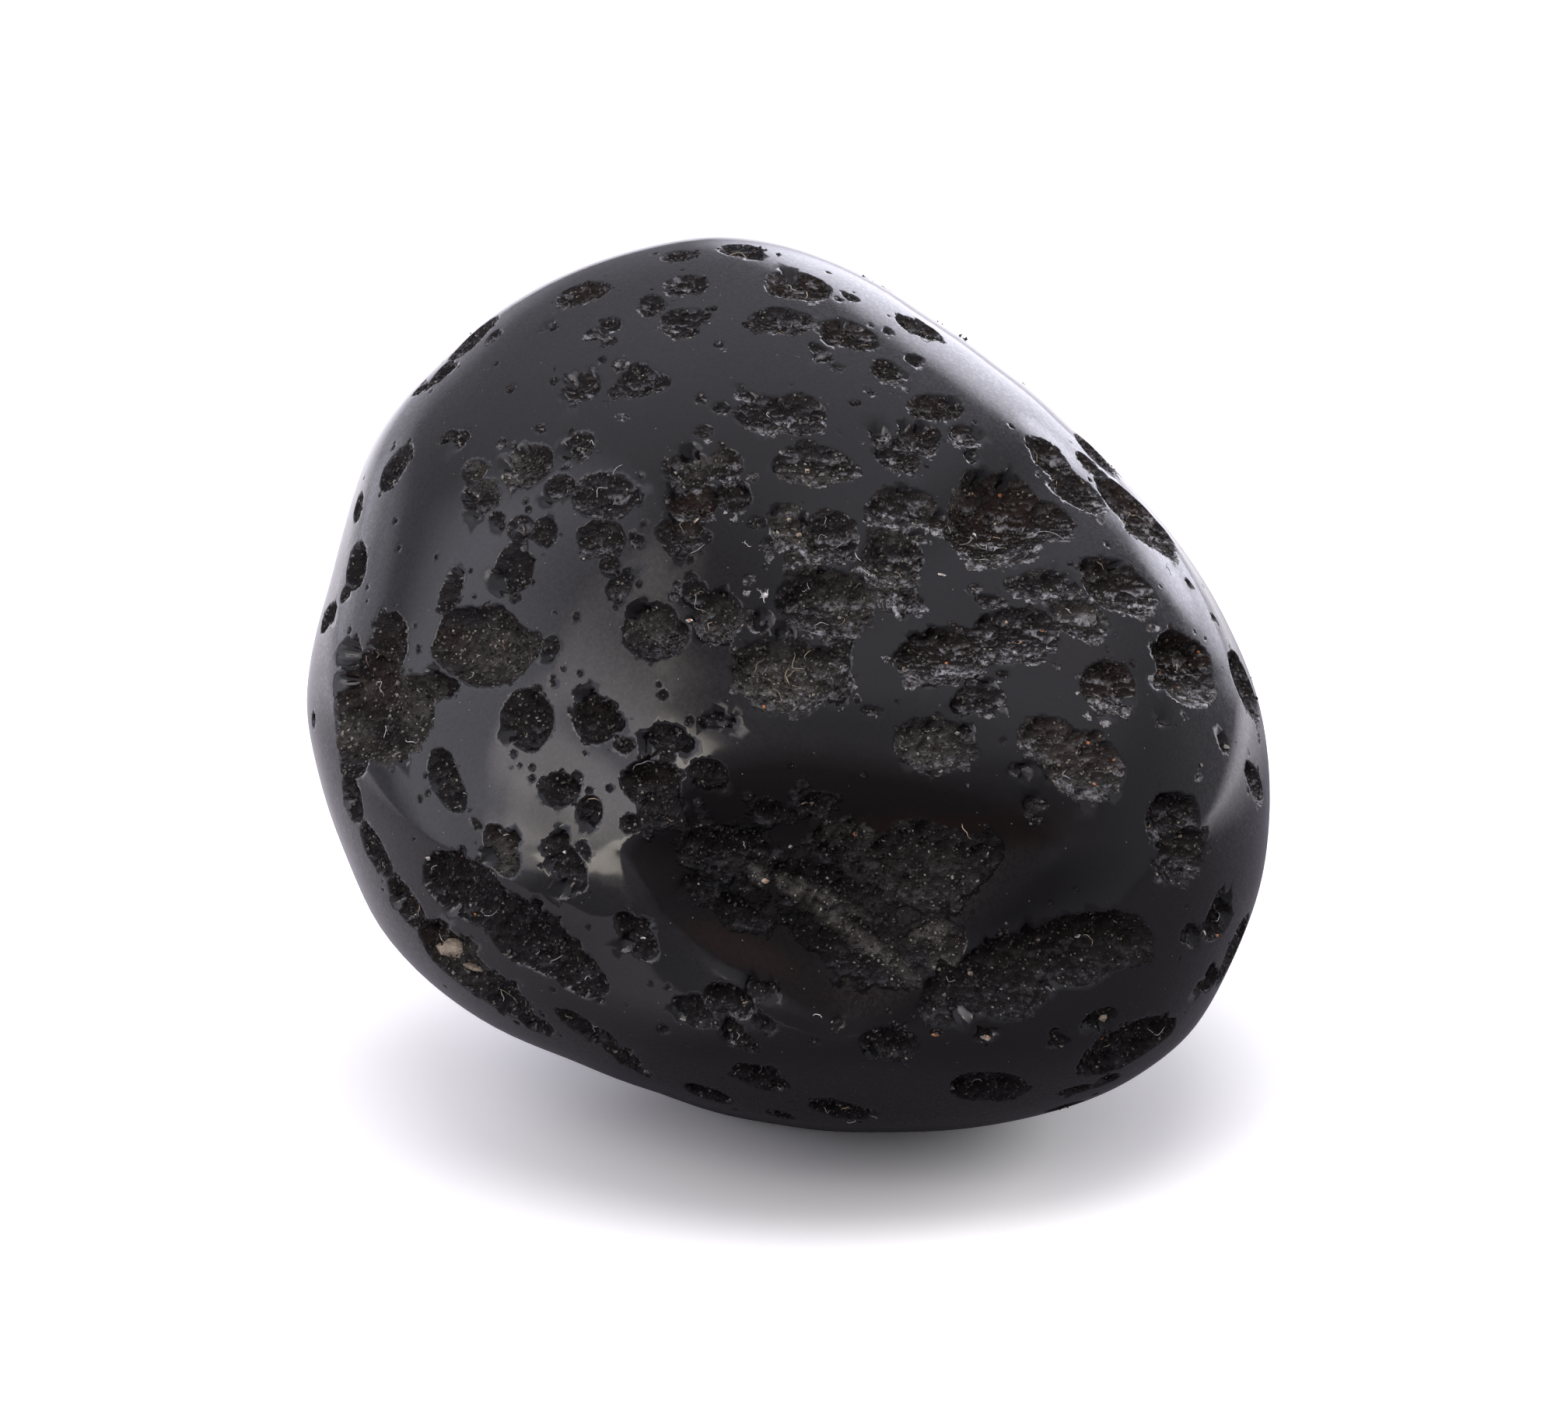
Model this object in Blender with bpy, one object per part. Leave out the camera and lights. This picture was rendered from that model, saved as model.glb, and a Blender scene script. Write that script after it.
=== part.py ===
"""A tumbled pebble of black volcanic glass, one solid, riddled with burst gas bubbles.

The stone is drawn first on a sighting plane that leans back from upright, as it is
seen by an eye in front of it and a little above: its outline, its broad hollows and
its larger pits are marked there in millimetres across and up from the middle. The
outline is swelled into a round body, the hollows and pits are worn into it, and the
body is set down on a small worn flat.
"""
import math
import random

import bmesh
import bpy
import numpy as np
from mathutils import Vector, noise

# ---------------------------------------------------------------- driving sizes, mm
STONE_WIDTH = 41.0          # greatest width, side to side
FRONT_SWELL = 16.2          # middle to the front, along the line of sight
BACK_SWELL = 15.4           # middle to the back
EYE_DISTANCE = 300.0        # from the middle to the eye that the marks are seen from
EYE_RISE = math.radians(17.5)   # how far the line of sight comes down from level
LEAN = 0.28                 # how far each millimetre up sets the body back
PLAIN_POWER = 2.15          # of the body's rounding: 2 is an ellipse, more is squarer
LOWER_POWER = 0.75          # added to it down towards the underside
RIM_STEPS = 1440            # samples taken round the outline
RIM_SMOOTHING = 2.5         # degrees that the drawn outline is averaged over
STEADY_SMOOTHING = 15.0     # degrees that it is averaged over away from the rim
SKIN_WANDER = 0.3           # how far the skin wanders in and out, away from the rim
SKIN_WAVE = 9.0             # length of that wander
REST_CUT = 0.55             # how much the worn flat underneath takes off the bottom
HEEL_WAY = (-0.12, -0.84, -0.53)    # a low heel behind the flat, as a direction
HEEL_SPREAD = math.radians(24)
HEEL_HEIGHT = 1.3
BACK_TAPER = 0.22           # how much thinner the back gets from the middle to the top
HOLLOW_DEPTH = 1.55         # of the dark hollow low on the front
HOLLOW_SHARPNESS = 6        # of the creases between its sides: less is rounder
DISH_FADE = 5.0             # broad wear grows to its full depth this far from the rim
PIT_REACH_IN = 0.65         # half a pit's extent along the line of sight, to its length
PIT_FLOOR = 2.4             # how flat a pit's floor is: 2 is round, more is flatter
PIT_WALL = 0.6              # how steep its wall is: 1 is shallow, less is steeper
RIM_WANDER = 0.16           # how far a pit's rim wanders, as a share of its size
RIM_WAVE = 1.3              # length of that wander
HIDDEN_CLUSTERS = 78        # clusters of pits strewn over the back and the underside
CLUSTER_SIZES = (1, 2, 2, 3, 5)     # pits in a cluster, drawn by chance
CLUSTER_SPREAD = 0.10       # of a cluster's pits, as a share of the distance to the middle
SMALLEST_PIT = 1.1          # strewn pits' shortest length
PIT_LENGTH_RANGE = 3.6      # and how much longer the longest is
PIT_DEPTH_SHARE = 0.27      # a strewn pit's depth against its mean diameter
REST_CLEAR = math.radians(17)   # no pit's middle is nearer the heel than this
SEED = 41
BODY_FACES = 9600           # triangles left in the finished solid
FLAT_SLACK = 0.04           # skin this near the ground belongs to the worn flat
FINE_SUBDIVISIONS = 7       # of the round blank that the form is worked on
MM = 0.001

# The outline, anticlockwise from the right: millimetres across and up.
OUTLINE = [
    (20.55, -4.5), (20.05, -0.8), (18.85, 2.1), (17.2, 5.0), (14.95, 7.8), (12.0, 10.85),
    (9.0, 13.35), (6.0, 15.45), (2.5, 17.55), (-0.5, 18.6), (-3.2, 18.9), (-6.2, 18.35),
    (-9.5, 17.2), (-12.3, 15.6), (-14.6, 13.5), (-16.4, 11.8), (-17.8, 9.6), (-18.6, 7.0),
    (-19.3, 4.2), (-20.1, 1.5), (-20.45, -1.2), (-19.8, -4.1), (-18.6, -7.5), (-17.3, -10.5),
    (-15.4, -12.6), (-12.6, -14.6), (-9.0, -16.0), (-5.0, -17.45), (-1.0, -18.6), (4.5, -19.1),
    (9.5, -18.75), (14.0, -17.4), (17.2, -15.1), (19.0, -11.8), (20.2, -8.6),
]

# The dark hollow low on the front: the corners of its outline, anticlockwise, each with
# how far in from the edge that starts there the wear takes to reach its full depth.
HOLLOW = [
    (-7.3, -7.4, 2.2), (-5.6, -10.2, 2.2), (-3.6, -12.1, 2.4), (1.0, -14.6, 2.6),
    (2.4, -14.9, 3.0), (5.4, -13.8, 3.0), (8.0, -11.2, 3.2), (12.4, -7.2, 4.0),
    (11.4, -5.3, 5.0), (6.0, -3.4, 5.0), (0.0, -2.6, 5.0), (-3.6, -3.2, 4.0),
    (-5.8, -5.2, 3.0),
]

# Broad dished wear on the front: across, up, half length, half height, tilt in
# degrees, depth, and how softly the dish starts at its upper edge.
DISHES = [
    (8.5, 6.0, 9.5, 4.2, 38, 0.7, 2.0),      # valley between the two shoulders
    (-8.9, -4.6, 4.2, 5.6, 28, 0.45, 1.6),   # flattened cheek beside the hollow
]

# Swells that carry the edges: across, up, half length, half height, tilt, height.
SWELLS = [
    (2.0, -14.6, 9.5, 2.6, 0, 0.9),
    (-12.5, -7.2, 5.5, 2.6, -25, 0.9),
    (14.2, -2.2, 5.0, 7.5, 10, 0.9),
    (-5.2, 8.0, 7.5, 6.5, 30, 0.7),
]

# Pits seen from the front: across, up, length, width, tilt in degrees, depth.
PITS = [
    # left edge, top to bottom
    (-13.3, 14.5, 2.6, 0.7, 45, 0.4), (-14.6, 13.0, 1.5, 0.7, 48, 0.45),
    (-16.7, 9.0, 2.3, 0.9, 57, 0.35), (-18.4, 4.9, 2.2, 1.1, 85, 0.6),
    (-19.5, 2.6, 1.5, 0.6, 62, 0.45), (-12.9, 7.8, 1.8, 1.6, 0, 0.6),
    (-13.3, 8.9, 1.2, 1.1, 0, 0.4), (-11.0, 9.1, 2.3, 1.8, 20, 0.5),
    (-11.3, 6.4, 1.2, 1.1, 0, 0.35), (-10.3, 6.3, 1.2, 1.1, 90, 0.35),
    (-11.6, 4.7, 1.9, 1.8, 90, 0.65), (-14.3, 3.7, 1.6, 0.9, 65, 0.45),
    (-16.9, 1.6, 2.6, 1.8, 95, 0.9), (-13.0, 1.4, 5.0, 3.4, -5, 1.15),
    (-18.6, 0.9, 1.8, 1.2, 90, 0.8), (-18.0, -1.1, 4.6, 3.6, 88, 1.3),
    (-16.4, -1.7, 3.6, 2.8, 60, 1.3), (-18.4, -3.1, 2.6, 1.8, 75, 1.0),
    (-15.3, -0.5, 2.4, 1.2, 35, 0.7), (-18.5, -5.1, 2.2, 0.9, 100, 0.5),
    (-17.4, -7.4, 2.6, 0.9, -60, 0.45), (-14.5, -4.4, 2.9, 1.3, -65, 0.65),
    (-12.1, -7.4, 2.5, 1.3, -65, 0.6), (-11.05, -1.7, 2.6, 2.2, 90, 0.75),
    # slanting furrows low on the left
    (-13.6, -9.0, 4.8, 2.6, -30, 0.95), (-11.0, -10.9, 5.2, 2.5, -38, 1.05),
    (-8.9, -12.5, 3.2, 1.7, -40, 0.7), (-16.1, -9.7, 2.8, 1.0, -55, 0.5),
    (-14.1, -11.9, 4.3, 1.8, -45, 0.95), (-12.2, -13.5, 3.6, 1.4, -40, 0.75),
    (-10.7, -14.7, 1.8, 0.7, -30, 0.4),
    # crown
    (-8.6, 16.4, 2.6, 1.0, 12, 0.4), (-5.7, 15.9, 1.3, 1.1, 90, 0.45),
    (-4.5, 15.2, 1.8, 1.3, 0, 0.4), (-4.2, 16.8, 2.0, 1.0, 0, 0.35),
    (-1.9, 18.2, 1.9, 0.8, -5, 0.35), (0.6, 16.8, 3.0, 1.4, -4, 0.5),
    (-0.2, 15.3, 2.8, 1.2, 0, 0.35), (-8.7, 12.5, 1.7, 1.3, 25, 0.4),
    (-6.3, 12.6, 1.9, 1.4, 10, 0.3), (-8.75, 9.95, 1.3, 1.2, 30, 0.4),
    (-0.9, 11.3, 2.6, 1.6, 0, 0.35), (0.6, 11.3, 2.2, 2.0, 0, 0.4),
    (2.7, 14.7, 2.7, 1.3, -10, 0.5), (5.6, 15.0, 2.3, 0.8, -20, 0.4),
    (4.4, 13.2, 1.5, 1.2, -10, 0.35), (6.5, 11.6, 2.6, 1.1, -3, 0.45),
    (5.7, 10.2, 2.0, 1.3, 0, 0.45), (7.6, 10.4, 1.5, 0.9, -5, 0.35),
    (4.6, 9.5, 1.7, 1.0, 0, 0.35), (1.3, 9.1, 3.3, 1.7, -3, 0.4),
    # middle
    (-7.7, 7.8, 3.0, 2.0, 0, 0.4), (-7.85, 6.0, 2.0, 1.6, 0, 0.4),
    (-5.7, 2.0, 2.5, 2.4, 0, 0.7), (-2.9, 2.7, 2.2, 2.2, 0, 0.7),
    (-4.1, 8.9, 1.9, 1.7, 0, 0.8), (-2.6, 9.1, 1.6, 1.4, 0, 0.5),
    (-2.3, 7.8, 1.5, 1.3, 0, 0.8), (-4.0, 7.6, 2.4, 1.7, 0, 1.0),
    (-4.5, 6.3, 1.9, 1.4, 0, 0.6), (0.0, 6.5, 1.6, 1.5, 90, 0.65),
    (1.8, 6.0, 2.6, 2.2, 0, 0.55), (-0.2, 0.1, 4.6, 3.4, -12, 1.0),
    (1.9, 0.6, 1.9, 1.6, 0, 0.45), (1.7, 3.2, 4.2, 3.0, -5, 0.95),
    (4.6, 5.1, 2.7, 2.6, 0, 0.75), (4.7, 3.5, 1.8, 1.3, -10, 0.3),
    (5.0, 7.3, 3.0, 1.8, 0, 0.5), (9.0, 6.8, 4.8, 4.2, 15, 1.4),
    (11.3, 6.9, 2.3, 1.7, -25, 0.6), (11.3, 9.4, 2.4, 1.3, -40, 0.5),
    (12.4, 8.0, 2.7, 1.4, -38, 0.6), (13.2, 9.6, 2.5, 0.7, -48, 0.4),
    (15.1, 6.9, 4.7, 1.5, -45, 0.7), (6.9, 1.0, 4.6, 2.5, 8, 0.75),
    (9.9, 1.9, 4.2, 2.4, 5, 0.7), (11.2, 3.9, 2.9, 1.5, -8, 0.4),
    (14.2, 3.9, 3.8, 2.2, -20, 0.9), (12.5, 2.6, 2.7, 1.6, -15, 0.5),
    (13.8, -0.3, 2.5, 2.4, 0, 0.65), (17.1, 0.4, 3.8, 3.1, -20, 1.3),
    (19.7, -0.5, 3.4, 0.8, -66, 0.5), (8.3, -0.9, 2.2, 1.3, -5, 0.35),
    (6.4, -2.8, 3.4, 2.4, -10, 0.5), (11.2, -2.6, 2.5, 1.9, -10, 0.35),
    (12.9, -3.8, 3.4, 2.8, -30, 0.45), (16.6, -6.0, 2.9, 2.3, 0, 0.75),
    (16.9, -7.6, 2.7, 2.2, 60, 0.75), (20.05, -4.5, 2.3, 0.6, -68, 0.35),
    (-8.1, -1.75, 1.9, 1.9, 0, 0.75), (-5.05, -2.6, 1.8, 1.3, 0, 0.45),
    (-5.7, -4.5, 2.6, 2.1, 0, 0.95), (-5.4, -5.8, 1.8, 1.4, 0, 0.6),
    (-9.6, -4.75, 1.6, 1.4, 0, 0.55), (-8.4, -5.7, 1.3, 1.1, 90, 0.55),
    (-9.4, -7.9, 2.6, 1.2, -55, 0.6), (-6.4, -10.9, 2.4, 1.2, -50, 0.55),
    # crust in the dark hollow
    (-2.4, -7.4, 3.9, 2.4, -8, 0.35), (2.4, -7.0, 2.2, 1.7, 0, 0.45),
    (5.9, -8.0, 4.7, 3.7, -5, 0.3), (2.0, -9.4, 5.2, 2.4, -30, 0.3),
    (3.2, -11.4, 5.7, 2.3, -35, 0.35), (6.4, -11.3, 2.5, 2.3, -20, 0.25),
    # underside of the front
    (12.6, -11.6, 6.7, 3.0, 15, 1.1), (9.6, -12.7, 5.2, 3.6, 20, 1.0),
    (7.2, -13.6, 2.9, 2.3, 30, 0.75), (14.5, -15.6, 5.0, 1.6, 24, 0.65),
    (18.5, -10.3, 1.9, 1.5, 60, 0.45), (19.1, -11.5, 3.6, 0.4, 66, 0.3),
    (18.1, -12.9, 1.3, 0.7, 40, 0.35), (13.3, -14.5, 1.7, 0.8, 20, 0.35),
    (8.7, -17.4, 3.7, 1.4, -6, 0.5), (4.5, -15.7, 2.7, 1.5, -5, 0.35),
    (2.4, -18.4, 2.9, 0.8, -14, 0.4), (-4.0, -14.2, 2.1, 1.1, -30, 0.45),
    (-2.4, -13.8, 2.3, 1.4, -25, 0.55), (-1.9, -15.4, 1.8, 0.7, -30, 0.35),
    (-1.1, -17.0, 2.7, 1.0, -22, 0.5), (-3.2, -17.8, 2.4, 0.6, -20, 0.4),
    (-8.6, -14.9, 2.6, 0.7, -33, 0.4), (-6.9, -16.1, 2.0, 0.5, -30, 0.3),
]

ACROSS, UP, NEAR = 0, 1, 2      # columns of a point on the sighting axes
TURN = 2 * math.pi
GOLDEN_ANGLE = math.pi * (3 - math.sqrt(5))


# ---------------------------------------------------------------- the worn body
def polar_table(points):
    """Radius against angle, sampled round a smooth closed curve near the points."""
    angles = np.array([math.atan2(up, across) % TURN for across, up in points])
    radii = np.array([math.hypot(across, up) * (1 + LEAN * up / EYE_DISTANCE)
                      for across, up in points])
    order = np.argsort(angles)
    grid = np.linspace(0, TURN, RIM_STEPS, endpoint=False)
    table = np.interp(grid, angles[order], radii[order], period=TURN)
    return grid, smooth_round(table, RIM_SMOOTHING)


def smooth_round(table, degrees):
    """A table that runs once round, averaged over a bell this many degrees wide."""
    width = degrees * RIM_STEPS / 360
    reach = int(3 * width)
    bell = np.exp(-0.5 * (np.arange(-reach, reach + 1) / width) ** 2)
    padded = np.concatenate((table[-reach:], table, table[:reach]))
    return np.convolve(padded, bell / bell.sum(), mode="valid")


def ellipse_reach(across, up, mark):
    """How far each point lies from a mark's middle: 1 is on its edge."""
    middle_across, middle_up, half_length, half_width, tilt = mark
    along = (across - middle_across) * math.cos(tilt) + (up - middle_up) * math.sin(tilt)
    aside = (up - middle_up) * math.cos(tilt) - (across - middle_across) * math.sin(tilt)
    return np.hypot(along / half_length, aside / half_width)


def leaning(points):
    """The same points with the body leant back from the line of sight."""
    leant = points.copy()
    leant[:, NEAR] -= LEAN * points[:, UP]
    return leant


def seen(points):
    """Where the eye sees each point of the body on the sighting plane."""
    points = leaning(points)
    scale = EYE_DISTANCE / (EYE_DISTANCE - points[:, NEAR])
    return points[:, ACROSS] * scale, points[:, UP] * scale


def plain_body(ways):
    """Distance from the middle to the unmarked skin along each unit direction."""
    grid, rim_table = polar_table(OUTLINE)
    steady_table = smooth_round(rim_table, STEADY_SMOOTHING)
    angle = np.arctan2(ways[:, UP], ways[:, ACROSS]) % TURN
    near = ways[:, NEAR]
    level = np.sqrt(np.clip(1 - near ** 2, 1e-9, 1))
    steady = np.interp(angle, grid, steady_table, period=TURN)
    rim = np.interp(angle, grid, rim_table, period=TURN)
    radius = steady + (rim - steady) * level ** 3
    swell = np.where(near > 0, FRONT_SWELL, BACK_SWELL * (1 - BACK_TAPER * ways[:, UP]))
    lower = np.clip(-ways[:, UP] / level, 0, 1)
    power = PLAIN_POWER + LOWER_POWER * lower * level
    body = ((level / radius) ** power + (np.abs(near) / swell) ** power) ** (-1 / power)
    off_heel = np.arccos(np.clip(ways @ np.array(HEEL_WAY), -1, 1)) / HEEL_SPREAD
    return body + HEEL_HEIGHT * np.exp(-off_heel ** 2)


def hollowed(across, up):
    """How deep the dark hollow is at places on the sighting plane: 1 on its floor."""
    thinness = 0
    for corner, (next_across, next_up, _) in zip(HOLLOW, HOLLOW[1:] + HOLLOW[:1]):
        run, rise = next_across - corner[0], next_up - corner[1]
        inward = (run * (up - corner[1]) - rise * (across - corner[0])) / math.hypot(run, rise)
        thinness += np.maximum(inward / corner[2], 0.01) ** -HOLLOW_SHARPNESS
    share = np.clip(thinness ** (-1 / HOLLOW_SHARPNESS), 0, 1)
    return share * share * (3 - 2 * share)


def broad_wear(points):
    """Depth of the broad dishes less the swells, along each point's own radius."""
    across, up = seen(points)
    front = np.clip(points[:, NEAR] / DISH_FADE, 0, 1)
    wear = HOLLOW_DEPTH * front * hollowed(across, up)
    for *mark, tilt, depth, softness in DISHES:
        reach = ellipse_reach(across, up, (*mark, math.radians(tilt)))
        upper = np.clip(0.5 + (up - mark[1]) / (2 * mark[3]), 0, 1)
        bowl = np.clip(1 - reach ** 2, 0, 1)
        wear += depth * front * bowl ** (1 + softness * upper)
    for *mark, tilt, height in SWELLS:
        reach = ellipse_reach(across, up, (*mark, math.radians(tilt)))
        wear -= height * front * np.exp(-reach ** 2)
    return wear


def unevenness(points, span, seed):
    """A slow wander of the skin, from -1 to 1, one wave about `span` long."""
    shift = Vector((seed, 2 * seed, 3 * seed))
    return np.array([noise.noise(Vector(point) / span + shift) for point in points])


# ---------------------------------------------------------------- pits
def bowl(reach):
    """Depth across a burst bubble, from 1 in its middle to 0 at its edge."""
    return np.clip(1 - reach ** PIT_FLOOR, 0, 1) ** PIT_WALL


def front_pits(points, ragged):
    """Depth of the pits that the eye sees, at each point of the plain skin."""
    across, up = seen(points)
    front = np.flatnonzero(points[:, NEAR] > 0)
    depth = np.zeros(len(points))
    for mark_across, mark_up, length, width, tilt, deep in PITS:
        mark = (mark_across, mark_up, length / 2, width / 2, math.radians(tilt))
        apart = np.hypot(across[front] - mark_across, up[front] - mark_up)
        middle_near = points[front[np.argmin(apart)], NEAR]
        inward = (points[:, NEAR] - middle_near) / (PIT_REACH_IN * length)
        reach = np.hypot(ellipse_reach(across, up, mark), inward) * (1 + ragged)
        inside = reach < 1
        depth[inside] = np.maximum(depth[inside], deep * bowl(reach[inside]))
    return depth


def strewn_marks():
    """Pits strewn where the eye doesn't see: way, length, width, turn.

    Their clusters wind evenly round the back on a golden spiral.
    """
    chance = random.Random(SEED)
    for place in range(HIDDEN_CLUSTERS):
        near = -(place + chance.random()) / HIDDEN_CLUSTERS
        angle = place * GOLDEN_ANGLE
        level = math.sqrt(1 - near * near)
        core = np.array((level * math.cos(angle), level * math.sin(angle), near))
        for _ in range(chance.choice(CLUSTER_SIZES)):
            scatter = [chance.gauss(0, CLUSTER_SPREAD) for _ in range(3)]
            length = SMALLEST_PIT + PIT_LENGTH_RANGE * chance.random() ** 2
            width = length * chance.uniform(0.6, 0.95)
            turn = chance.uniform(0, math.pi)
            way = core + scatter
            way /= np.linalg.norm(way)
            resting = way @ np.array(HEEL_WAY) > math.cos(REST_CLEAR)
            if way[NEAR] < 0 and not resting:
                yield way, length, width, turn


def strewn_pits(points, ragged):
    """Depth of the strewn pits at each point of the plain skin."""
    ways = points / np.linalg.norm(points, axis=1)[:, None]
    depth = np.zeros(len(points))
    for way, length, width, turn in strewn_marks():
        middle = points[np.argmax(ways @ way)]
        deep = PIT_DEPTH_SHARE * math.sqrt(length * width)
        side = np.cross(way, (0.0, 0.0, 1.0))
        side /= np.linalg.norm(side)
        rise = np.cross(side, way)
        offset = points - middle
        mark = (0, 0, length / 2, width / 2, turn)
        reach = ellipse_reach(offset @ side, offset @ rise, mark) * (1 + ragged)
        inside = (reach < 1) & (ways @ way > 0)
        depth[inside] = np.maximum(depth[inside], deep * bowl(reach[inside]))
    return depth


# ---------------------------------------------------------------- the solid
def upright(points):
    """From the sighting axes to world axes: x right, y away from the eye, z up."""
    across, up, near = points.T
    away = up * math.sin(EYE_RISE) - near * math.cos(EYE_RISE)
    height = up * math.cos(EYE_RISE) + near * math.sin(EYE_RISE)
    return np.column_stack((across, away, height))


def worn_points(ways):
    """World points, in millimetres, of the finished skin along each unit direction."""
    plain = ways * plain_body(ways)[:, None]
    plain -= ways * broad_wear(plain)[:, None]
    wander = SKIN_WANDER * np.abs(ways[:, NEAR]) * unevenness(plain, SKIN_WAVE, SEED)
    plain += ways * wander[:, None]
    ragged = RIM_WANDER * unevenness(plain, RIM_WAVE, SEED + 1)
    pits = np.maximum(front_pits(plain, ragged), strewn_pits(plain, ragged))
    points = upright(leaning(plain - ways * pits[:, None]))
    flat = points[:, 2].min() + REST_CUT
    low = points[:, 2] < flat
    points[low] *= (flat / points[low, 2])[:, None]
    return (points - standing_point(points)) * STONE_WIDTH / np.ptp(points[:, 0])


def standing_point(points):
    """The point on the ground below the middle of the stone's box."""
    lowest, highest = points.min(axis=0), points.max(axis=0)
    return np.array(((lowest[0] + highest[0]) / 2, (lowest[1] + highest[1]) / 2, lowest[2]))


def glass():
    """Black volcanic glass with a tumbled gloss."""
    material = bpy.data.materials.new("black volcanic glass")
    material.use_nodes = True
    shader = material.node_tree.nodes["Principled BSDF"]
    shader.inputs["Base Color"].default_value = (0.012, 0.011, 0.012, 1)
    shader.inputs["Roughness"].default_value = 0.12
    shader.inputs["Metallic"].default_value = 0.0
    shader.inputs["IOR"].default_value = 1.5
    return material


def thinned(stone):
    """The object's mesh brought down to BODY_FACES triangles, most where it bends most."""
    thin = stone.modifiers.new("fewer faces", "DECIMATE")
    thin.ratio = BODY_FACES / len(stone.data.polygons)
    graph = bpy.context.evaluated_depsgraph_get()
    mesh = bpy.data.meshes.new_from_object(stone.evaluated_get(graph))
    stone.modifiers.clear()
    return mesh


def settle(mesh):
    """Make the worn flat exactly level and stand the box's middle on the origin."""
    points = np.array([vertex.co[:] for vertex in mesh.vertices]) / MM
    points[points[:, 2] < FLAT_SLACK, 2] = 0.0
    points -= standing_point(points)
    points[:, :2] *= STONE_WIDTH / np.ptp(points[:, 0])
    mesh.vertices.foreach_set("co", (points * MM).ravel())


def make_stone():
    """The pebble as one closed object standing on the ground at the origin."""
    form = bmesh.new()
    bmesh.ops.create_icosphere(form, subdivisions=FINE_SUBDIVISIONS, radius=1.0)
    ways = np.array([vertex.co[:] for vertex in form.verts])
    ways /= np.linalg.norm(ways, axis=1)[:, None]
    for vertex, point in zip(form.verts, worn_points(ways)):
        vertex.co = Vector(point) * MM
    blank = bpy.data.meshes.new("blank")
    form.to_mesh(blank)
    form.free()
    stone = bpy.data.objects.new("stone", blank)
    bpy.context.collection.objects.link(stone)
    stone.data = thinned(stone)
    bpy.data.meshes.remove(blank)
    settle(stone.data)
    stone.data.materials.append(glass())
    stone.data.shade_smooth()
    return stone


for leftover in list(bpy.data.objects):
    bpy.data.objects.remove(leftover)
make_stone()
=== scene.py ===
"""Looks of the tumbled obsidian pebble: its skin in full detail and the dirt in its pits.

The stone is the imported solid's own form, worked again on a skin fine enough to hold the
rims, bubbles and pinholes. Places on it are given as the eye in front of it sees them:
millimetres across and up on a sighting plane through the stone's middle.
"""
import math
import random

import bmesh
import bpy
import numpy as np
from mathutils import Matrix, Vector, kdtree, noise


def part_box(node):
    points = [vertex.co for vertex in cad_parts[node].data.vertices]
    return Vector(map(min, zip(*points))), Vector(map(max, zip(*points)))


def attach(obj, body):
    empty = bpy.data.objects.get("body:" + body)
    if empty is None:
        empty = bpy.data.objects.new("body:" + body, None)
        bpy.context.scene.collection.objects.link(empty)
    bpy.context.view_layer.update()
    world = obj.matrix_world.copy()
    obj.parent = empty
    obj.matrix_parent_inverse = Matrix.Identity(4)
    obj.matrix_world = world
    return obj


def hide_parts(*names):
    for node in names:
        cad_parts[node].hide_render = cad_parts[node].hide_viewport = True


MM = 0.001

# ------------------------------------------------- the stone's form, mm, as in the source
FRONT_SWELL = 16.2          # middle to the front, along the line of sight
BACK_SWELL = 15.4           # middle to the back
EYE_DISTANCE = 300.0
EYE_RISE = math.radians(17.5)
LEAN = 0.28                 # how far each millimetre up sets the body back
PLAIN_POWER = 2.15          # of the body's rounding
LOWER_POWER = 0.75          # added to it down towards the underside
RIM_STEPS = 1440
RIM_SMOOTHING = 2.5
STEADY_SMOOTHING = 15.0
SKIN_WANDER = 0.3
SKIN_WAVE = 9.0
REST_CUT = 0.55
HEEL_WAY = (-0.12, -0.84, -0.53)
HEEL_SPREAD = math.radians(24)
HEEL_HEIGHT = 1.3
BACK_TAPER = 0.22
HOLLOW_DEPTH = 1.55
HOLLOW_SHARPNESS = 6
DISH_FADE = 5.0
PIT_REACH_IN = 0.65
PIT_FLOOR = 2.4
PIT_WALL = 0.6
RIM_WANDER = 0.16
RIM_WAVE = 1.3
RIM_FRINGE = 0.06           # a finer wander on top of it, for the looks only
FRINGE_WAVE = 0.5
HIDDEN_CLUSTERS = 78
CLUSTER_SIZES = (1, 2, 2, 3, 5)
CLUSTER_SPREAD = 0.10
SMALLEST_PIT = 1.1
PIT_LENGTH_RANGE = 3.6
PIT_SLIMNESS = (0.6, 0.95)
PIT_DEPTH_SHARE = 0.27
REST_CLEAR = math.radians(17)
SEED = 41

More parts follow.
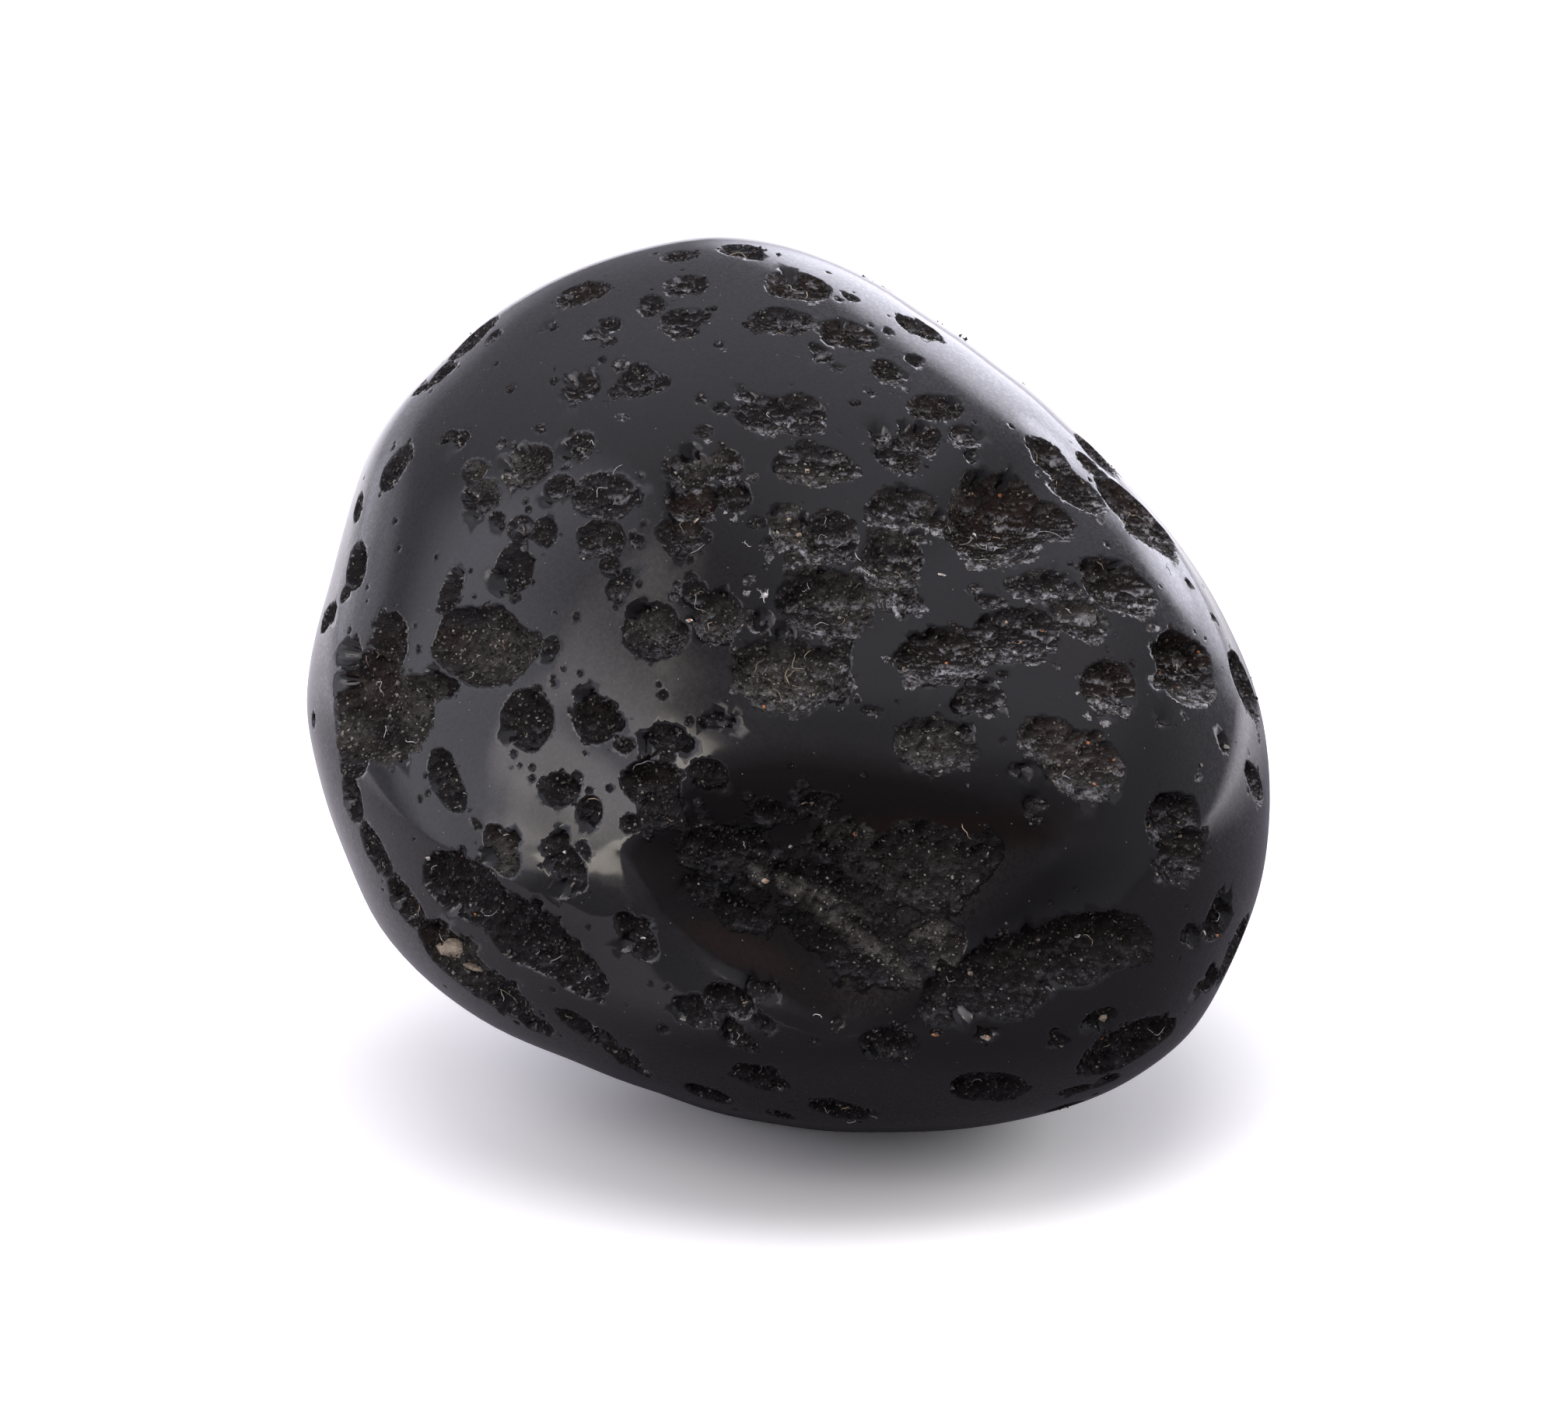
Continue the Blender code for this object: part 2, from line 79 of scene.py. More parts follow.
OUTLINE = [
    (20.55, -4.5), (20.05, -0.8), (18.85, 2.1), (17.2, 5.0), (14.95, 7.8), (12.0, 10.85),
    (9.0, 13.35), (6.0, 15.45), (2.5, 17.55), (-0.5, 18.6), (-3.2, 18.9), (-6.2, 18.35),
    (-9.5, 17.2), (-12.3, 15.6), (-14.6, 13.5), (-16.4, 11.8), (-17.8, 9.6), (-18.6, 7.0),
    (-19.3, 4.2), (-20.1, 1.5), (-20.45, -1.2), (-19.8, -4.1), (-18.6, -7.5), (-17.3, -10.5),
    (-15.4, -12.6), (-12.6, -14.6), (-9.0, -16.0), (-5.0, -17.45), (-1.0, -18.6), (4.5, -19.1),
    (9.5, -18.75), (14.0, -17.4), (17.2, -15.1), (19.0, -11.8), (20.2, -8.6),
]

# The dark hollow low on the front: the corners of its outline, anticlockwise, each with
# how far in from the edge that starts there the wear takes to reach its full depth.
HOLLOW = [
    (-7.3, -7.4, 2.2), (-5.6, -10.2, 2.2), (-3.6, -12.1, 2.4), (1.0, -14.6, 2.6),
    (2.4, -14.9, 3.0), (5.4, -13.8, 3.0), (8.0, -11.2, 3.2), (12.4, -7.2, 4.0),
    (11.4, -5.3, 5.0), (6.0, -3.4, 5.0), (0.0, -2.6, 5.0), (-3.6, -3.2, 4.0),
    (-5.8, -5.2, 3.0),
]

# Broad dished wear: across, up, half length, half height, tilt, depth, upper softness.
DISHES = [
    (8.5, 6.0, 9.5, 4.2, 38, 0.7, 2.0), (-8.9, -4.6, 4.2, 5.6, 28, 0.45, 1.6),
]

# Swells that carry the edges: across, up, half length, half height, tilt, height.
SWELLS = [
    (2.0, -14.6, 9.5, 2.6, 0, 0.9), (-12.5, -7.2, 5.5, 2.6, -25, 0.9),
    (14.2, -2.2, 5.0, 7.5, 10, 0.9), (-5.2, 8.0, 7.5, 6.5, 30, 0.7),
]

# Larger pits: across, up, length, width, tilt in degrees, depth.
PITS = [
    # left edge, top to bottom
    (-13.3, 14.5, 2.6, 0.7, 45, 0.4), (-14.6, 13.0, 1.5, 0.7, 48, 0.45),
    (-16.7, 9.0, 2.3, 0.9, 57, 0.35), (-18.4, 4.9, 2.2, 1.1, 85, 0.6),
    (-19.5, 2.6, 1.5, 0.6, 62, 0.45), (-12.9, 7.8, 1.8, 1.6, 0, 0.6),
    (-13.3, 8.9, 1.2, 1.1, 0, 0.4), (-11.0, 9.1, 2.3, 1.8, 20, 0.5),
    (-11.3, 6.4, 1.2, 1.1, 0, 0.35), (-10.3, 6.3, 1.2, 1.1, 90, 0.35),
    (-11.6, 4.7, 1.9, 1.8, 90, 0.65), (-14.3, 3.7, 1.6, 0.9, 65, 0.45),
    (-16.9, 1.6, 2.6, 1.8, 95, 0.9), (-13.0, 1.4, 5.0, 3.4, -5, 1.15),
    (-18.6, 0.9, 1.8, 1.2, 90, 0.8), (-18.0, -1.1, 4.6, 3.6, 88, 1.3),
    (-16.4, -1.7, 3.6, 2.8, 60, 1.3), (-18.4, -3.1, 2.6, 1.8, 75, 1.0),
    (-15.3, -0.5, 2.4, 1.2, 35, 0.7), (-18.5, -5.1, 2.2, 0.9, 100, 0.5),
    (-17.4, -7.4, 2.6, 0.9, -60, 0.45), (-14.5, -4.4, 2.9, 1.3, -65, 0.65),
    (-12.1, -7.4, 2.5, 1.3, -65, 0.6), (-11.05, -1.7, 2.6, 2.2, 90, 0.75),
    # slanting furrows low on the left
    (-13.6, -9.0, 4.8, 2.6, -30, 0.95), (-11.0, -10.9, 5.2, 2.5, -38, 1.05),
    (-8.9, -12.5, 3.2, 1.7, -40, 0.7), (-16.1, -9.7, 2.8, 1.0, -55, 0.5),
    (-14.1, -11.9, 4.3, 1.8, -45, 0.95), (-12.2, -13.5, 3.6, 1.4, -40, 0.75),
    (-10.7, -14.7, 1.8, 0.7, -30, 0.4),
    # crown
    (-8.6, 16.4, 2.6, 1.0, 12, 0.4), (-5.7, 15.9, 1.3, 1.1, 90, 0.45),
    (-4.5, 15.2, 1.8, 1.3, 0, 0.4), (-4.2, 16.8, 2.0, 1.0, 0, 0.35),
    (-1.9, 18.2, 1.9, 0.8, -5, 0.35), (0.6, 16.8, 3.0, 1.4, -4, 0.5),
    (-0.2, 15.3, 2.8, 1.2, 0, 0.35), (-8.7, 12.5, 1.7, 1.3, 25, 0.4),
    (-6.3, 12.6, 1.9, 1.4, 10, 0.3), (-8.75, 9.95, 1.3, 1.2, 30, 0.4),
    (-0.9, 11.3, 2.6, 1.6, 0, 0.35), (0.6, 11.3, 2.2, 2.0, 0, 0.4),
    (2.7, 14.7, 2.7, 1.3, -10, 0.5), (5.6, 15.0, 2.3, 0.8, -20, 0.4),
    (4.4, 13.2, 1.5, 1.2, -10, 0.35), (6.5, 11.6, 2.6, 1.1, -3, 0.45),
    (5.7, 10.2, 2.0, 1.3, 0, 0.45), (7.6, 10.4, 1.5, 0.9, -5, 0.35),
    (4.6, 9.5, 1.7, 1.0, 0, 0.35), (1.3, 9.1, 3.3, 1.7, -3, 0.4),
    # middle
    (-7.7, 7.8, 3.0, 2.0, 0, 0.4), (-7.85, 6.0, 2.0, 1.6, 0, 0.4),
    (-5.7, 2.0, 2.5, 2.4, 0, 0.7), (-2.9, 2.7, 2.2, 2.2, 0, 0.7),
    (-4.1, 8.9, 1.9, 1.7, 0, 0.8), (-2.6, 9.1, 1.6, 1.4, 0, 0.5),
    (-2.3, 7.8, 1.5, 1.3, 0, 0.8), (-4.0, 7.6, 2.4, 1.7, 0, 1.0),
    (-4.5, 6.3, 1.9, 1.4, 0, 0.6), (0.0, 6.5, 1.6, 1.5, 90, 0.65),
    (1.8, 6.0, 2.6, 2.2, 0, 0.55), (-0.2, 0.1, 4.6, 3.4, -12, 1.0),
    (1.9, 0.6, 1.9, 1.6, 0, 0.45), (1.7, 3.2, 4.2, 3.0, -5, 0.95),
    (4.6, 5.1, 2.7, 2.6, 0, 0.75), (4.7, 3.5, 1.8, 1.3, -10, 0.3),
    (5.0, 7.3, 3.0, 1.8, 0, 0.5), (9.0, 6.8, 4.8, 4.2, 15, 1.4),
    (11.3, 6.9, 2.3, 1.7, -25, 0.6), (11.3, 9.4, 2.4, 1.3, -40, 0.5),
    (12.4, 8.0, 2.7, 1.4, -38, 0.6), (13.2, 9.6, 2.5, 0.7, -48, 0.4),
    (15.1, 6.9, 4.7, 1.5, -45, 0.7), (6.9, 1.0, 4.6, 2.5, 8, 0.75),
    (9.9, 1.9, 4.2, 2.4, 5, 0.7), (11.2, 3.9, 2.9, 1.5, -8, 0.4),
    (14.2, 3.9, 3.8, 2.2, -20, 0.9), (12.5, 2.6, 2.7, 1.6, -15, 0.5),
    (13.8, -0.3, 2.5, 2.4, 0, 0.65), (17.1, 0.4, 3.8, 3.1, -20, 1.3),
    (19.7, -0.5, 3.4, 0.8, -66, 0.5), (8.3, -0.9, 2.2, 1.3, -5, 0.35),
    (6.4, -2.8, 3.4, 2.4, -10, 0.5), (11.2, -2.6, 2.5, 1.9, -10, 0.35),
    (12.9, -3.8, 3.4, 2.8, -30, 0.45), (16.6, -6.0, 2.9, 2.3, 0, 0.75),
    (16.9, -7.6, 2.7, 2.2, 60, 0.75), (20.05, -4.5, 2.3, 0.6, -68, 0.35),
    (-8.1, -1.75, 1.9, 1.9, 0, 0.75), (-5.05, -2.6, 1.8, 1.3, 0, 0.45),
    (-5.7, -4.5, 2.6, 2.1, 0, 0.95), (-5.4, -5.8, 1.8, 1.4, 0, 0.6),
    (-9.6, -4.75, 1.6, 1.4, 0, 0.55), (-8.4, -5.7, 1.3, 1.1, 90, 0.55),
    (-9.4, -7.9, 2.6, 1.2, -55, 0.6), (-6.4, -10.9, 2.4, 1.2, -50, 0.55),
    # crust in the dark hollow
    (-2.4, -7.4, 3.9, 2.4, -8, 0.35), (2.4, -7.0, 2.2, 1.7, 0, 0.45),
    (5.9, -8.0, 4.7, 3.7, -5, 0.3), (2.0, -9.4, 5.2, 2.4, -30, 0.3),
    (3.2, -11.4, 5.7, 2.3, -35, 0.35), (6.4, -11.3, 2.5, 2.3, -20, 0.25),
    # underside of the front
    (12.6, -11.6, 6.7, 3.0, 15, 1.1), (9.6, -12.7, 5.2, 3.6, 20, 1.0),
    (7.2, -13.6, 2.9, 2.3, 30, 0.75), (14.5, -15.6, 5.0, 1.6, 24, 0.65),
    (18.5, -10.3, 1.9, 1.5, 60, 0.45), (19.1, -11.5, 3.6, 0.4, 66, 0.3),
    (18.1, -12.9, 1.3, 0.7, 40, 0.35), (13.3, -14.5, 1.7, 0.8, 20, 0.35),
    (8.7, -17.4, 3.7, 1.4, -6, 0.5), (4.5, -15.7, 2.7, 1.5, -5, 0.35),
    (2.4, -18.4, 2.9, 0.8, -14, 0.4), (-4.0, -14.2, 2.1, 1.1, -30, 0.45),
    (-2.4, -13.8, 2.3, 1.4, -25, 0.55), (-1.9, -15.4, 1.8, 0.7, -30, 0.35),
    (-1.1, -17.0, 2.7, 1.0, -22, 0.5), (-3.2, -17.8, 2.4, 0.6, -20, 0.4),
    (-8.6, -14.9, 2.6, 0.7, -33, 0.4), (-6.9, -16.1, 2.0, 0.5, -30, 0.3),
]

# ------------------------------------------------- finer pits that only the looks need
SMALL_DEPTH_SHARE = 0.3     # a small pit's depth against its mean diameter

# Across, up, length, width, tilt in degrees.
SMALL_PITS = [
    # left
    (-12.4, 14.6, 0.8, 0.5, 45), (-15.5, 12.4, 1.2, 0.35, 25), (-11.75, 12.4, 0.5, 0.4, 0),
    (-14.5, 10.35, 0.8, 0.45, 50), (-13.8, 10.3, 0.8, 0.6, 10), (-12.1, 10.05, 0.5, 0.5, 0),
    (-10.5, 10.7, 0.4, 0.4, 0), (-12.3, 13.4, 0.3, 0.3, 0), (-18.2, 7.3, 1.4, 0.4, 80),
    (-18.9, 3.6, 0.8, 0.4, 70), (-16.7, 6.75, 0.28, 0.28, 0), (-16.55, 5.6, 0.28, 0.24, 0),
    (-16.8, 3.15, 0.3, 0.3, 0), (-15.6, 7.5, 0.3, 0.26, 0), (-12.35, 6.9, 0.75, 0.55, 0),
    (-17.3, 2.7, 0.9, 0.5, 90), (-10.0, 1.4, 0.75, 0.65, 80), (-20.1, -1.7, 0.7, 0.3, 90),
    (-15.0, -3.3, 0.5, 0.5, 0), (-13.2, -6.2, 0.7, 0.25, -40), (-11.6, -3.2, 0.3, 0.3, 0),
    (-10.8, -3.8, 0.26, 0.26, 0), (-10.8, -4.25, 0.3, 0.28, 0), (-11.35, -3.7, 0.22, 0.22, 0),
    (-17.4, 7.9, 0.3, 0.26, 0), (-14.9, 5.2, 0.22, 0.22, 0), (-9.7, 8.2, 1.4, 1.1, 0),
    (-17.0, -2.6, 3.4, 2.0, 22), (-14.6, -3.5, 1.1, 0.8, -60),
    # crown
    (-7.5, 15.2, 1.0, 0.8, 0), (-8.2, 14.7, 0.8, 0.5, 0), (-7.5, 14.4, 0.8, 0.5, 0),
    (-9.9, 15.0, 0.6, 0.3, 0), (-3.5, 15.6, 0.7, 0.5, 0), (-4.5, 14.9, 1.6, 0.7, 0),
    (-4.6, 18.1, 1.8, 0.6, 0), (-2.85, 14.3, 0.5, 0.3, 0), (-7.1, 13.4, 0.7, 0.6, 0),
    (-7.8, 13.6, 0.4, 0.35, 0), (-6.2, 13.2, 0.8, 0.6, 0), (-7.1, 12.2, 0.6, 0.45, 0),
    (-5.4, 12.7, 1.0, 0.8, 0), (-6.9, 11.15, 0.6, 0.28, 0), (-9.9, 13.3, 0.28, 0.26, 0),
    (-9.9, 12.7, 0.4, 0.35, 0), (-3.5, 10.6, 0.85, 0.55, 10), (-3.6, 12.0, 0.5, 0.4, 0),
    (-2.7, 11.6, 0.7, 0.5, 0), (-1.8, 12.1, 0.65, 0.45, 0), (2.9, 16.3, 0.9, 0.35, -15),
    (1.5, 14.0, 1.2, 0.5, -35), (4.35, 14.85, 0.5, 0.35, 0), (5.5, 13.65, 0.9, 0.45, 0),
    (3.0, 11.8, 0.6, 0.24, 0), (3.6, 12.2, 0.4, 0.24, 0), (4.0, 10.4, 0.9, 0.5, 0),
    (5.1, 9.3, 1.4, 0.7, 0), (7.9, 9.5, 0.5, 0.35, 0), (0.9, 10.0, 0.9, 0.6, 0),
    (3.6, 17.0, 2.8, 0.35, -32), (9.9, 12.6, 1.7, 0.35, -42), (2.2, 13.3, 0.6, 0.3, 0),
    # middle
    (-7.35, 7.65, 0.4, 0.36, 0), (-6.3, 5.9, 0.55, 0.5, 0), (-7.5, 4.9, 0.9, 0.7, 0),
    (-8.6, 5.2, 0.3, 0.26, 0), (-7.1, 3.9, 1.15, 0.9, 40), (-6.25, 4.1, 0.22, 0.22, 0),
    (-7.25, 3.1, 0.22, 0.22, 0), (-8.95, 2.65, 0.45, 0.3, 80), (-9.85, 2.8, 0.2, 0.2, 0),
    (-9.5, 0.4, 0.2, 0.2, 0), (-9.95, -0.2, 0.3, 0.28, 0), (-6.15, 8.65, 0.28, 0.24, 0),
    (-4.5, 1.9, 1.0, 0.7, 80), (-3.85, 3.7, 1.1, 0.9, 0), (-4.45, 3.7, 0.42, 0.4, 0),
    (-4.0, 4.3, 0.5, 0.35, 0), (-1.6, 4.25, 0.42, 0.4, 0), (-1.7, 3.65, 0.22, 0.22, 0),
    (-4.5, 5.5, 1.0, 0.6, 0), (-1.4, 8.6, 0.5, 0.4, 0), (-5.05, 9.2, 0.4, 0.4, 0),
    (-4.05, 5.1, 0.28, 0.26, 0), (-1.2, 6.65, 0.85, 0.5, 0), (-0.6, 5.7, 1.0, 0.6, 0),
    (0.2, 5.1, 0.5, 0.45, 0), (0.1, 7.2, 0.85, 0.6, 0), (-5.2, -0.7, 0.42, 0.4, 0),
    (-5.4, -0.25, 0.22, 0.22, 0), (-1.3, 2.2, 0.6, 0.5, 0), (2.8, 8.75, 0.42, 0.3, 0),
    (0.3, 5.2, 0.7, 0.4, 0), (5.7, 6.0, 0.6, 0.5, 0), (8.1, 3.85, 0.6, 0.5, 0),
    (8.8, 3.3, 1.4, 0.6, -8), (9.7, 4.0, 0.85, 0.7, 0), (2.2, 1.6, 1.4, 0.5, 0),
    (2.4, 1.2, 0.85, 0.8, 0), (0.2, 1.75, 0.42, 0.4, 0), (0.1, 2.5, 0.3, 0.2, 0),
    (2.4, -0.2, 0.95, 0.9, 0), (6.5, 6.6, 1.0, 0.9, 90), (9.3, 0.2, 0.6, 0.32, 0),
    (8.2, -0.3, 0.6, 0.5, 0), (2.4, -0.4, 1.0, 0.8, 80), (3.7, -1.4, 0.9, 0.35, -10),
    (9.9, -3.9, 0.8, 0.6, 0), (4.4, 0.9, 0.2, 0.2, 0), (5.8, 3.4, 0.25, 0.2, 0),
    # right
    (12.9, 9.2, 1.5, 0.5, -45), (15.7, 2.2, 0.6, 0.3, 0), (17.2, 4.1, 0.5, 0.18, -45),
    (18.3, 2.6, 0.5, 0.16, -50), (16.85, -1.5, 0.4, 0.35, 0), (16.2, -1.95, 0.8, 0.2, 0),
    (10.9, -5.4, 0.6, 0.5, 0), (10.7, -6.1, 0.6, 0.4, 0), (18.8, -2.9, 0.6, 0.5, 0),
    (17.6, -4.2, 0.3, 0.24, 0), (18.5, -9.3, 0.7, 0.5, 60), (17.1, -10.8, 1.1, 0.8, 60),
    (17.9, -13.15, 0.42, 0.4, 0), (17.55, -13.3, 0.38, 0.34, 0), (18.2, -12.5, 0.7, 0.5, 40),
    # left of the hollow and below it
    (-9.1, -1.45, 0.3, 0.28, 0), (-6.85, -2.85, 0.9, 0.6, 0), (-5.65, -2.35, 0.28, 0.24, 0),
    (-4.9, -3.35, 0.42, 0.4, 0), (-3.0, -1.8, 1.3, 0.6, 0), (-6.6, -6.2, 0.95, 0.85, 0),
    (-4.45, -4.1, 0.36, 0.34, 0), (-3.3, -4.1, 1.7, 1.4, 0), (-8.9, -4.2, 0.5, 0.5, 0),
    (-10.0, -7.2, 0.9, 0.8, 80), (-8.6, -7.3, 0.75, 0.42, -60), (-7.9, -13.75, 0.42, 0.28, 0),
    (-9.1, -14.6, 1.7, 0.45, -35), (-7.8, -15.3, 1.4, 0.6, -30), (-7.1, -15.9, 0.9, 0.32, -40),
    (-6.6, -16.5, 1.6, 0.32, -30), (-5.2, -14.95, 0.5, 0.36, 0), (-4.2, -15.7, 0.32, 0.2, 0),
    (-0.9, -14.7, 1.2, 0.6, -30), (-0.9, -13.4, 1.2, 0.8, 0), (-0.2, -18.6, 1.3, 0.3, -18),
    (8.5, -15.3, 0.9, 0.5, 0), (1.25, -15.5, 0.5, 0.28, 0), (2.2, -14.7, 0.5, 0.4, 0),
    (11.7, -15.55, 1.2, 0.55, 10), (13.3, -16.0, 0.9, 0.8, 20), (13.7, -17.05, 1.2, 0.42, 10),
    (12.3, -17.55, 1.6, 0.32, 12), (11.9, -18.2, 1.7, 0.28, 17), (6.4, -15.1, 0.6, 0.3, 0),
    (0.25, -3.7, 0.3, 0.26, 0), (0.75, -4.5, 0.3, 0.3, 0), (3.4, -4.1, 0.3, 0.26, 0),
    (6.8, -7.3, 0.8, 0.7, 0), (-0.6, -5.6, 1.5, 0.9, -10), (1.4, -5.3, 1.7, 1.0, 5),
    (-2.0, -9.9, 2.2, 1.1, -35), (-3.6, -9.0, 1.4, 0.8, -30), (8.3, -7.6, 1.4, 1.0, 30),
]

# ------------------------------------------------- how fine the skin is, mm
BASE_SUBDIVISIONS = 5       # of the round blank that is refined
SEEDING_SUBDIVISIONS = 6    # of the round blank that bubbles are seeded on
SKIN_EDGE = 0.8             # longest edge on the open polish
FLOOR_EDGE = 0.26           # and inside a pit
RIM_EDGE = 0.135            # and along a rim
RIM_BAND = 0.06             # half width of what counts as the rim
HIDDEN_COARSENESS = 2.3     # how much longer edges may be where the eye doesn't see
EDGE_GROWTH = 1.0           # how fast edges may lengthen away from a rim
REFINING_PASSES = 5
RANGE_PAST_RIM = 0.45       # distances to a rim are kept this far outside it
FAR = 9.0                   # stands for any greater distance

# ------------------------------------------------- burst bubbles in and round the pits
RIM_BUBBLES_PER_MM = 2.2
FLOOR_BUBBLES_PER_MM2 = 5.0
STRAY_BUBBLES_PER_MM = 0.5
# Where each kind is seeded, as its reach from a pit's middle: 1 is on the rim.
RIM_REACH, FLOOR_REACH, STRAY_REACH = (0.86, 1.0), (-1, 0.88), (1.15, 1.8)
# Its smallest and largest radius, and how deep its centre lies, in radii.
RIM_BUBBLE, FLOOR_BUBBLE = (0.1, 0.3, -0.5), (0.16, 0.45, -0.35)
STRAY_BUBBLE = (0.07, 0.17, -0.2)
WIDEST_RIM_BUBBLE = 0.22    # against the pit's width
JITTER = 0.14               # how far a bubble strays from where it was seeded
CRUMPLE = 0.07              # roughness of the pits' floors
CRUMPLE_WAVE = 0.42
CRUMPLE_EDGE = 0.3          # it is full this far inside the rims
CRAG = 0.035                # how far each corner of a floor is thrown in or out
CRAG_EDGE = 0.06            # floors are craggy from this far inside their rims
DOWN_LIT = (-0.06, -1.0, 0.0)       # the side of a pit that faces the light from above

# ------------------------------------------------- glassy crumbs and dust in the pits
CRUMBS = 24000              # in each of the two pieces
CRUMB_INSET = 0.05          # they lie at least this far inside the rims
CRUMB_SIZES = (0.03, 0.14)      # radius, smallest and largest
CRUMB_SPOKES = (0.55, 1.25)     # how far its corners reach, against its radius
CRUMB_STRETCH = (0.6, 1.1)      # of each of its three axes
CRUMB_SCATTER = 0.05
CRUMB_LIFT = (-0.2, 0.5)        # of its middle above the floor, against its radius
PALE_CHANCE = 0.2           # of a crumb where the dust is thickest
CLEANEST = 0.12             # dust that lies everywhere
SHOWN_FACING = 0.1          # skin that faces the eye by this much counts as shown
PATCH_FADE = 1.6            # a patch has faded out this far from its middle: 1 is its edge
# How well the light from above reaches the lower rims: at the middle, and its gain for
# each mm to the right and up, its further loss for each mm down below a height, and the
# least that it ever is.
LIT_LEVEL, LIT_ACROSS, LIT_UP, LIT_BELOW = 0.45, 0.05, 0.055, 0.08
LIT_HEIGHT, LEAST_LIT = -1, 0.08

# Where the crumbs are pale with dust: across, up, half length, half width, tilt, share.
PALE_PATCHES = [
    (-12.3, 9.0, 1.1, 0.8, 0, 0.9), (-3.8, 9.7, 0.8, 0.6, 0, 0.9),
    (1.0, 8.6, 1.8, 0.5, -3, 0.6), (0.2, 6.4, 0.7, 1.0, 0, 0.8), (7.0, 7.9, 0.9, 0.5, 30, 0.9),
    (-0.2, 0.0, 2.0, 1.4, 0, 0.8), (3.0, 3.3, 1.4, 1.1, 0, 0.5), (4.7, 4.4, 1.0, 0.6, 0, 0.6),
    (8.7, 4.8, 2.0, 0.6, 0, 0.6), (6.0, -3.0, 1.6, 1.0, 0, 0.5), (2.0, -6.4, 1.8, 0.6, 0, 0.7),
    (0.6, -9.1, 2.5, 0.25, -22, 0.9), (3.2, -11.3, 2.4, 0.3, -35, 0.85),
    (6.2, -11.0, 0.8, 0.5, 0, 0.8), (6.6, -12.5, 0.8, 0.3, 40, 0.9),
    (5.4, -8.4, 2.4, 2.0, 0, 0.2), (12.5, -3.2, 2.8, 2.2, 0, 0.3),
    (14.0, 2.7, 1.8, 0.6, -10, 0.6), (17.0, -0.9, 1.2, 0.5, 0, 0.6),
    (-6.0, 2.4, 1.0, 0.7, 0, 0.5), (-2.6, 2.3, 1.1, 0.9, 0, 0.4),
    (-12.6, 1.0, 1.7, 1.3, 0, 0.7), (-13.6, -11.9, 1.2, 0.9, -40, 0.6),
    (-16.3, -1.3, 1.1, 1.7, 25, 0.7), (-15.8, -3.0, 1.0, 0.45, 35, 1.0),
    (-17.0, -3.5, 0.7, 0.35, 10, 0.9), (-15.8, 0.5, 0.7, 0.35, 0, 0.8),
    (-19.0, -2.4, 0.4, 0.7, 20, 0.7), (-18.9, -0.3, 0.5, 0.3, 0, 0.5),
    (-12.0, -7.9, 0.6, 1.0, 30, 0.6), (1.5, 5.0, 1.6, 0.5, -5, 0.5),
    (5.0, 6.4, 1.4, 0.4, 0, 0.6),
]

# Where the glass is brown: across, up, half length, half width, tilt, share.
BROWN_PATCHES = [
    (9.0, 7.0, 2.6, 1.9, 10, 1.0), (-4.2, 7.6, 1.3, 1.1, 0, 1.0),
    (-8.6, 16.6, 1.5, 0.7, 10, 0.9), (-12.1, -7.4, 1.5, 0.8, -65, 0.8),
    (13.2, 9.6, 1.6, 0.8, -48, 0.8), (15.1, 6.9, 2.8, 1.0, -45, 1.0),
    (6.9, 1.3, 2.6, 1.1, 8, 0.6), (17.1, 0.8, 1.9, 1.3, -20, 1.0),
    (12.6, -2.6, 2.4, 1.9, -30, 0.8), (13.8, -0.2, 1.3, 1.2, 0, 0.8),
    (-18.4, -1.2, 1.2, 2.2, 0, 1.0), (-16.8, 1.3, 0.9, 0.8, 0, 0.9),
    (-18.6, 0.8, 0.6, 0.8, 0, 0.8), (-14.8, 1.1, 0.7, 1.1, 0, 0.9),
    (-15.6, -11.0, 2.6, 1.0, -52, 0.8), (5.6, 8.9, 1.6, 0.7, 0, 0.5),
    (5.6, 12.0, 1.8, 0.5, 0, 0.7), (0.4, 17.1, 1.8, 0.7, -4, 0.9),
    (5.3, 15.4, 1.4, 0.5, -20, 0.8), (5.8, 11.3, 2.2, 0.9, -3, 0.7),
    (11.0, 9.2, 1.4, 0.8, -40, 0.7), (2.6, 15.0, 1.3, 0.6, -10, 0.6),
    (14.4, 4.3, 2.1, 0.8, -20, 0.5), (-8.1, -1.6, 0.8, 0.7, 0, 0.7),
    (-5.9, -4.2, 1.2, 0.9, 0, 0.6), (11.5, -11.6, 4.5, 1.6, 15, 0.5),
    (-3.0, -7.0, 2.0, 0.9, -8, 0.5), (2.4, -7.0, 1.0, 0.8, 0, 0.8),
    (14.6, -15.5, 1.6, 0.8, 24, 0.6),
]

# Where the polish over the brown glass glows: across, up, half length, width, tilt, share.
GLOWS = [
    (-1.9, -11.5, 2.3, 0.55, -23, 0.8), (6.0, -6.3, 3.6, 0.5, 0, 0.65),
    (8.1, -8.0, 0.9, 0.6, 60, 0.7), (2.0, -4.4, 5.0, 1.2, 0, 0.22),
    (10.0, -6.4, 2.6, 0.9, 0, 0.35), (12.3, 1.0, 1.3, 0.8, 0, 0.35),
    (16.9, -8.4, 1.8, 0.25, 38, 0.5), (3.2, -13.2, 3.0, 0.9, 5, 0.25),
    (-5.6, -8.2, 1.2, 1.2, 0, 0.12),
]

